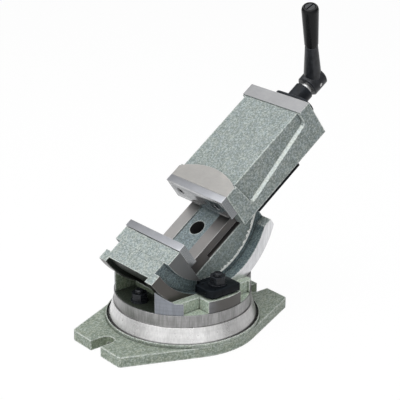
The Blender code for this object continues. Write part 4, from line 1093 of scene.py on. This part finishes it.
# %% Set the world
world = bpy.data.worlds.new("studio")
world.use_nodes = True
bpy.context.scene.world = world
sky = Network(world.node_tree)
SOFT_LEVEL = 0.33
GREY_LEVEL = 0.22
FRONT = (-0.64, -0.77, 0.0)
soft = sky.node("ShaderNodeBackground", None, {"Color": (0.97, 0.985, 1.0), "Strength": SOFT_LEVEL})
white = sky.node("ShaderNodeBackground", None, {"Color": (1, 1, 1), "Strength": 1.0})
grey = sky.node("ShaderNodeBackground", None, {"Color": (1, 1, 1), "Strength": GREY_LEVEL})
ray = sky.node("ShaderNodeLightPath")
toward = sky.node("ShaderNodeTexCoord", output="Generated")
front = sky.dot(toward, FRONT).fade(0.1, 0.88)
above = sky.dot(toward, UPRIGHT).fade(0.25, 0.75)
boards = sky.choose(front.larger(above * 0.9), grey, white)
lit = sky.choose(ray.sister("Is Glossy Ray"), soft, boards)
seen = ray.sister("Is Camera Ray").larger(ray.sister("Is Transmission Ray"))
shown = sky.choose(seen, lit, white)
sky.put(sky.tree.nodes["World Output"].inputs["Surface"], shown)
print("world", world.name, "has", len(sky.tree.nodes), "nodes")

# %% [markdown]
# The floor is white paper. Lit paper is never quite white in a picture, so the camera sees it mostly
# as a plain white glow and a little as paper, which is enough to keep the soft shadow of the base.
# Reflections see half of each, and soft light from below comes from the paper alone. The paper lies a
# hair below the base, so that the two faces don't fight for the same place.

# %% Lay the floor
FLOOR_HALF_WIDTH = 4.0
FLOOR_LEVEL = -0.0003
floor_mesh = bpy.data.meshes.new("floor")
sheet = bmesh.new()
bmesh.ops.create_grid(sheet, x_segments=1, y_segments=1, size=FLOOR_HALF_WIDTH)
sheet.to_mesh(floor_mesh)
sheet.free()
floor = bpy.data.objects.new("floor", floor_mesh)
bpy.context.scene.collection.objects.link(floor)
floor.location.z = FLOOR_LEVEL
print("floor laid,", 2 * FLOOR_HALF_WIDTH, "m wide")

# %% Whiten the floor
paper = Finish("white_floor")
paper.surface(Base_Color=(0.96, 0.96, 0.96), Roughness=0.9, Specular_IOR_Level=0.1)
glow = paper.node("ShaderNodeEmission", None, {"Color": (1, 1, 1), "Strength": 1.0})
ray = paper.node("ShaderNodeLightPath")
direct = ray.sister("Is Camera Ray").larger(ray.sister("Is Transmission Ray"))
share = (direct * 0.96).larger(ray.sister("Is Glossy Ray") * 0.5)
matt = Wire(paper, paper.shader.outputs[0])
paper.put(paper.tree.nodes["Material Output"].inputs["Surface"], paper.choose(share, matt, glow))
floor.data.materials.append(paper.material)
print("finished", paper.material.name)

# %% [markdown]
# The photograph has soft light from the upper left and hardly a shadow. One big lamp there gives the
# jaw's top its tone, one overhead keeps the base bright, and two weak ones fill the left and the
# front. Large lamps far away are soft, and they keep ground steel from flashing white.

# %% Hang the lamps
MIDDLE = (0.03, 0, 0.16)


def lamp(name, place, size, power):
    """A soft square lamp that looks at the middle of the vise."""
    light = bpy.data.lights.new(name, "AREA")
    light.shape = "SQUARE"
    light.size = size
    light.energy = power
    holder = bpy.data.objects.new(name, light)
    holder.location = place
    holder.rotation_euler = (Vector(MIDDLE) - Vector(place)).to_track_quat("-Z", "Y").to_euler()
    bpy.context.scene.collection.objects.link(holder)
    print(name, power, "W")


lamp("key lamp", (-0.75, -0.35, 1.35), 1.6, 17.0)
lamp("left lamp", (-1.2, 0.35, 0.75), 0.8, 2.4)
lamp("front lamp", (-0.55, -1.5, 0.7), 0.9, 0.6)
lamp("overhead lamp", (0.25, 0.15, 1.5), 1.7, 12.0)

# %% [markdown]
# The photograph was taken from a little above, from the fixed jaw's side, with a long lens. A camera
# placed by eye would be off by many pixels. These numbers come from matching the real edges of the
# vise to the picture: where the camera stands, and which way its own sides point.

# %% Place the camera
EYE = (-0.92012, -1.13978, 0.71995)
RIGHT_SIDE = (0.771408, -0.636296, 0.007472)
UPPER_SIDE = (0.222796, 0.281066, 0.933469)
AHEAD = (0.596063, 0.718421, -0.358581)
lens = bpy.data.cameras.new("camera")
lens.lens = 122.25
lens.sensor_width = 36.0
lens.clip_start = 0.05
camera = bpy.data.objects.new("camera", lens)
turn = Matrix((RIGHT_SIDE, UPPER_SIDE, [-value for value in AHEAD])).transposed().to_4x4()
camera.matrix_world = Matrix.Translation(EYE) @ turn
bpy.context.scene.collection.objects.link(camera)
bpy.context.scene.camera = camera
bpy.context.scene.view_settings.view_transform = "Standard"
print("camera placed, lens", lens.lens, "mm")

# %% [markdown]
# At the end the script prints that it is done.

# %% Finish
print("done")
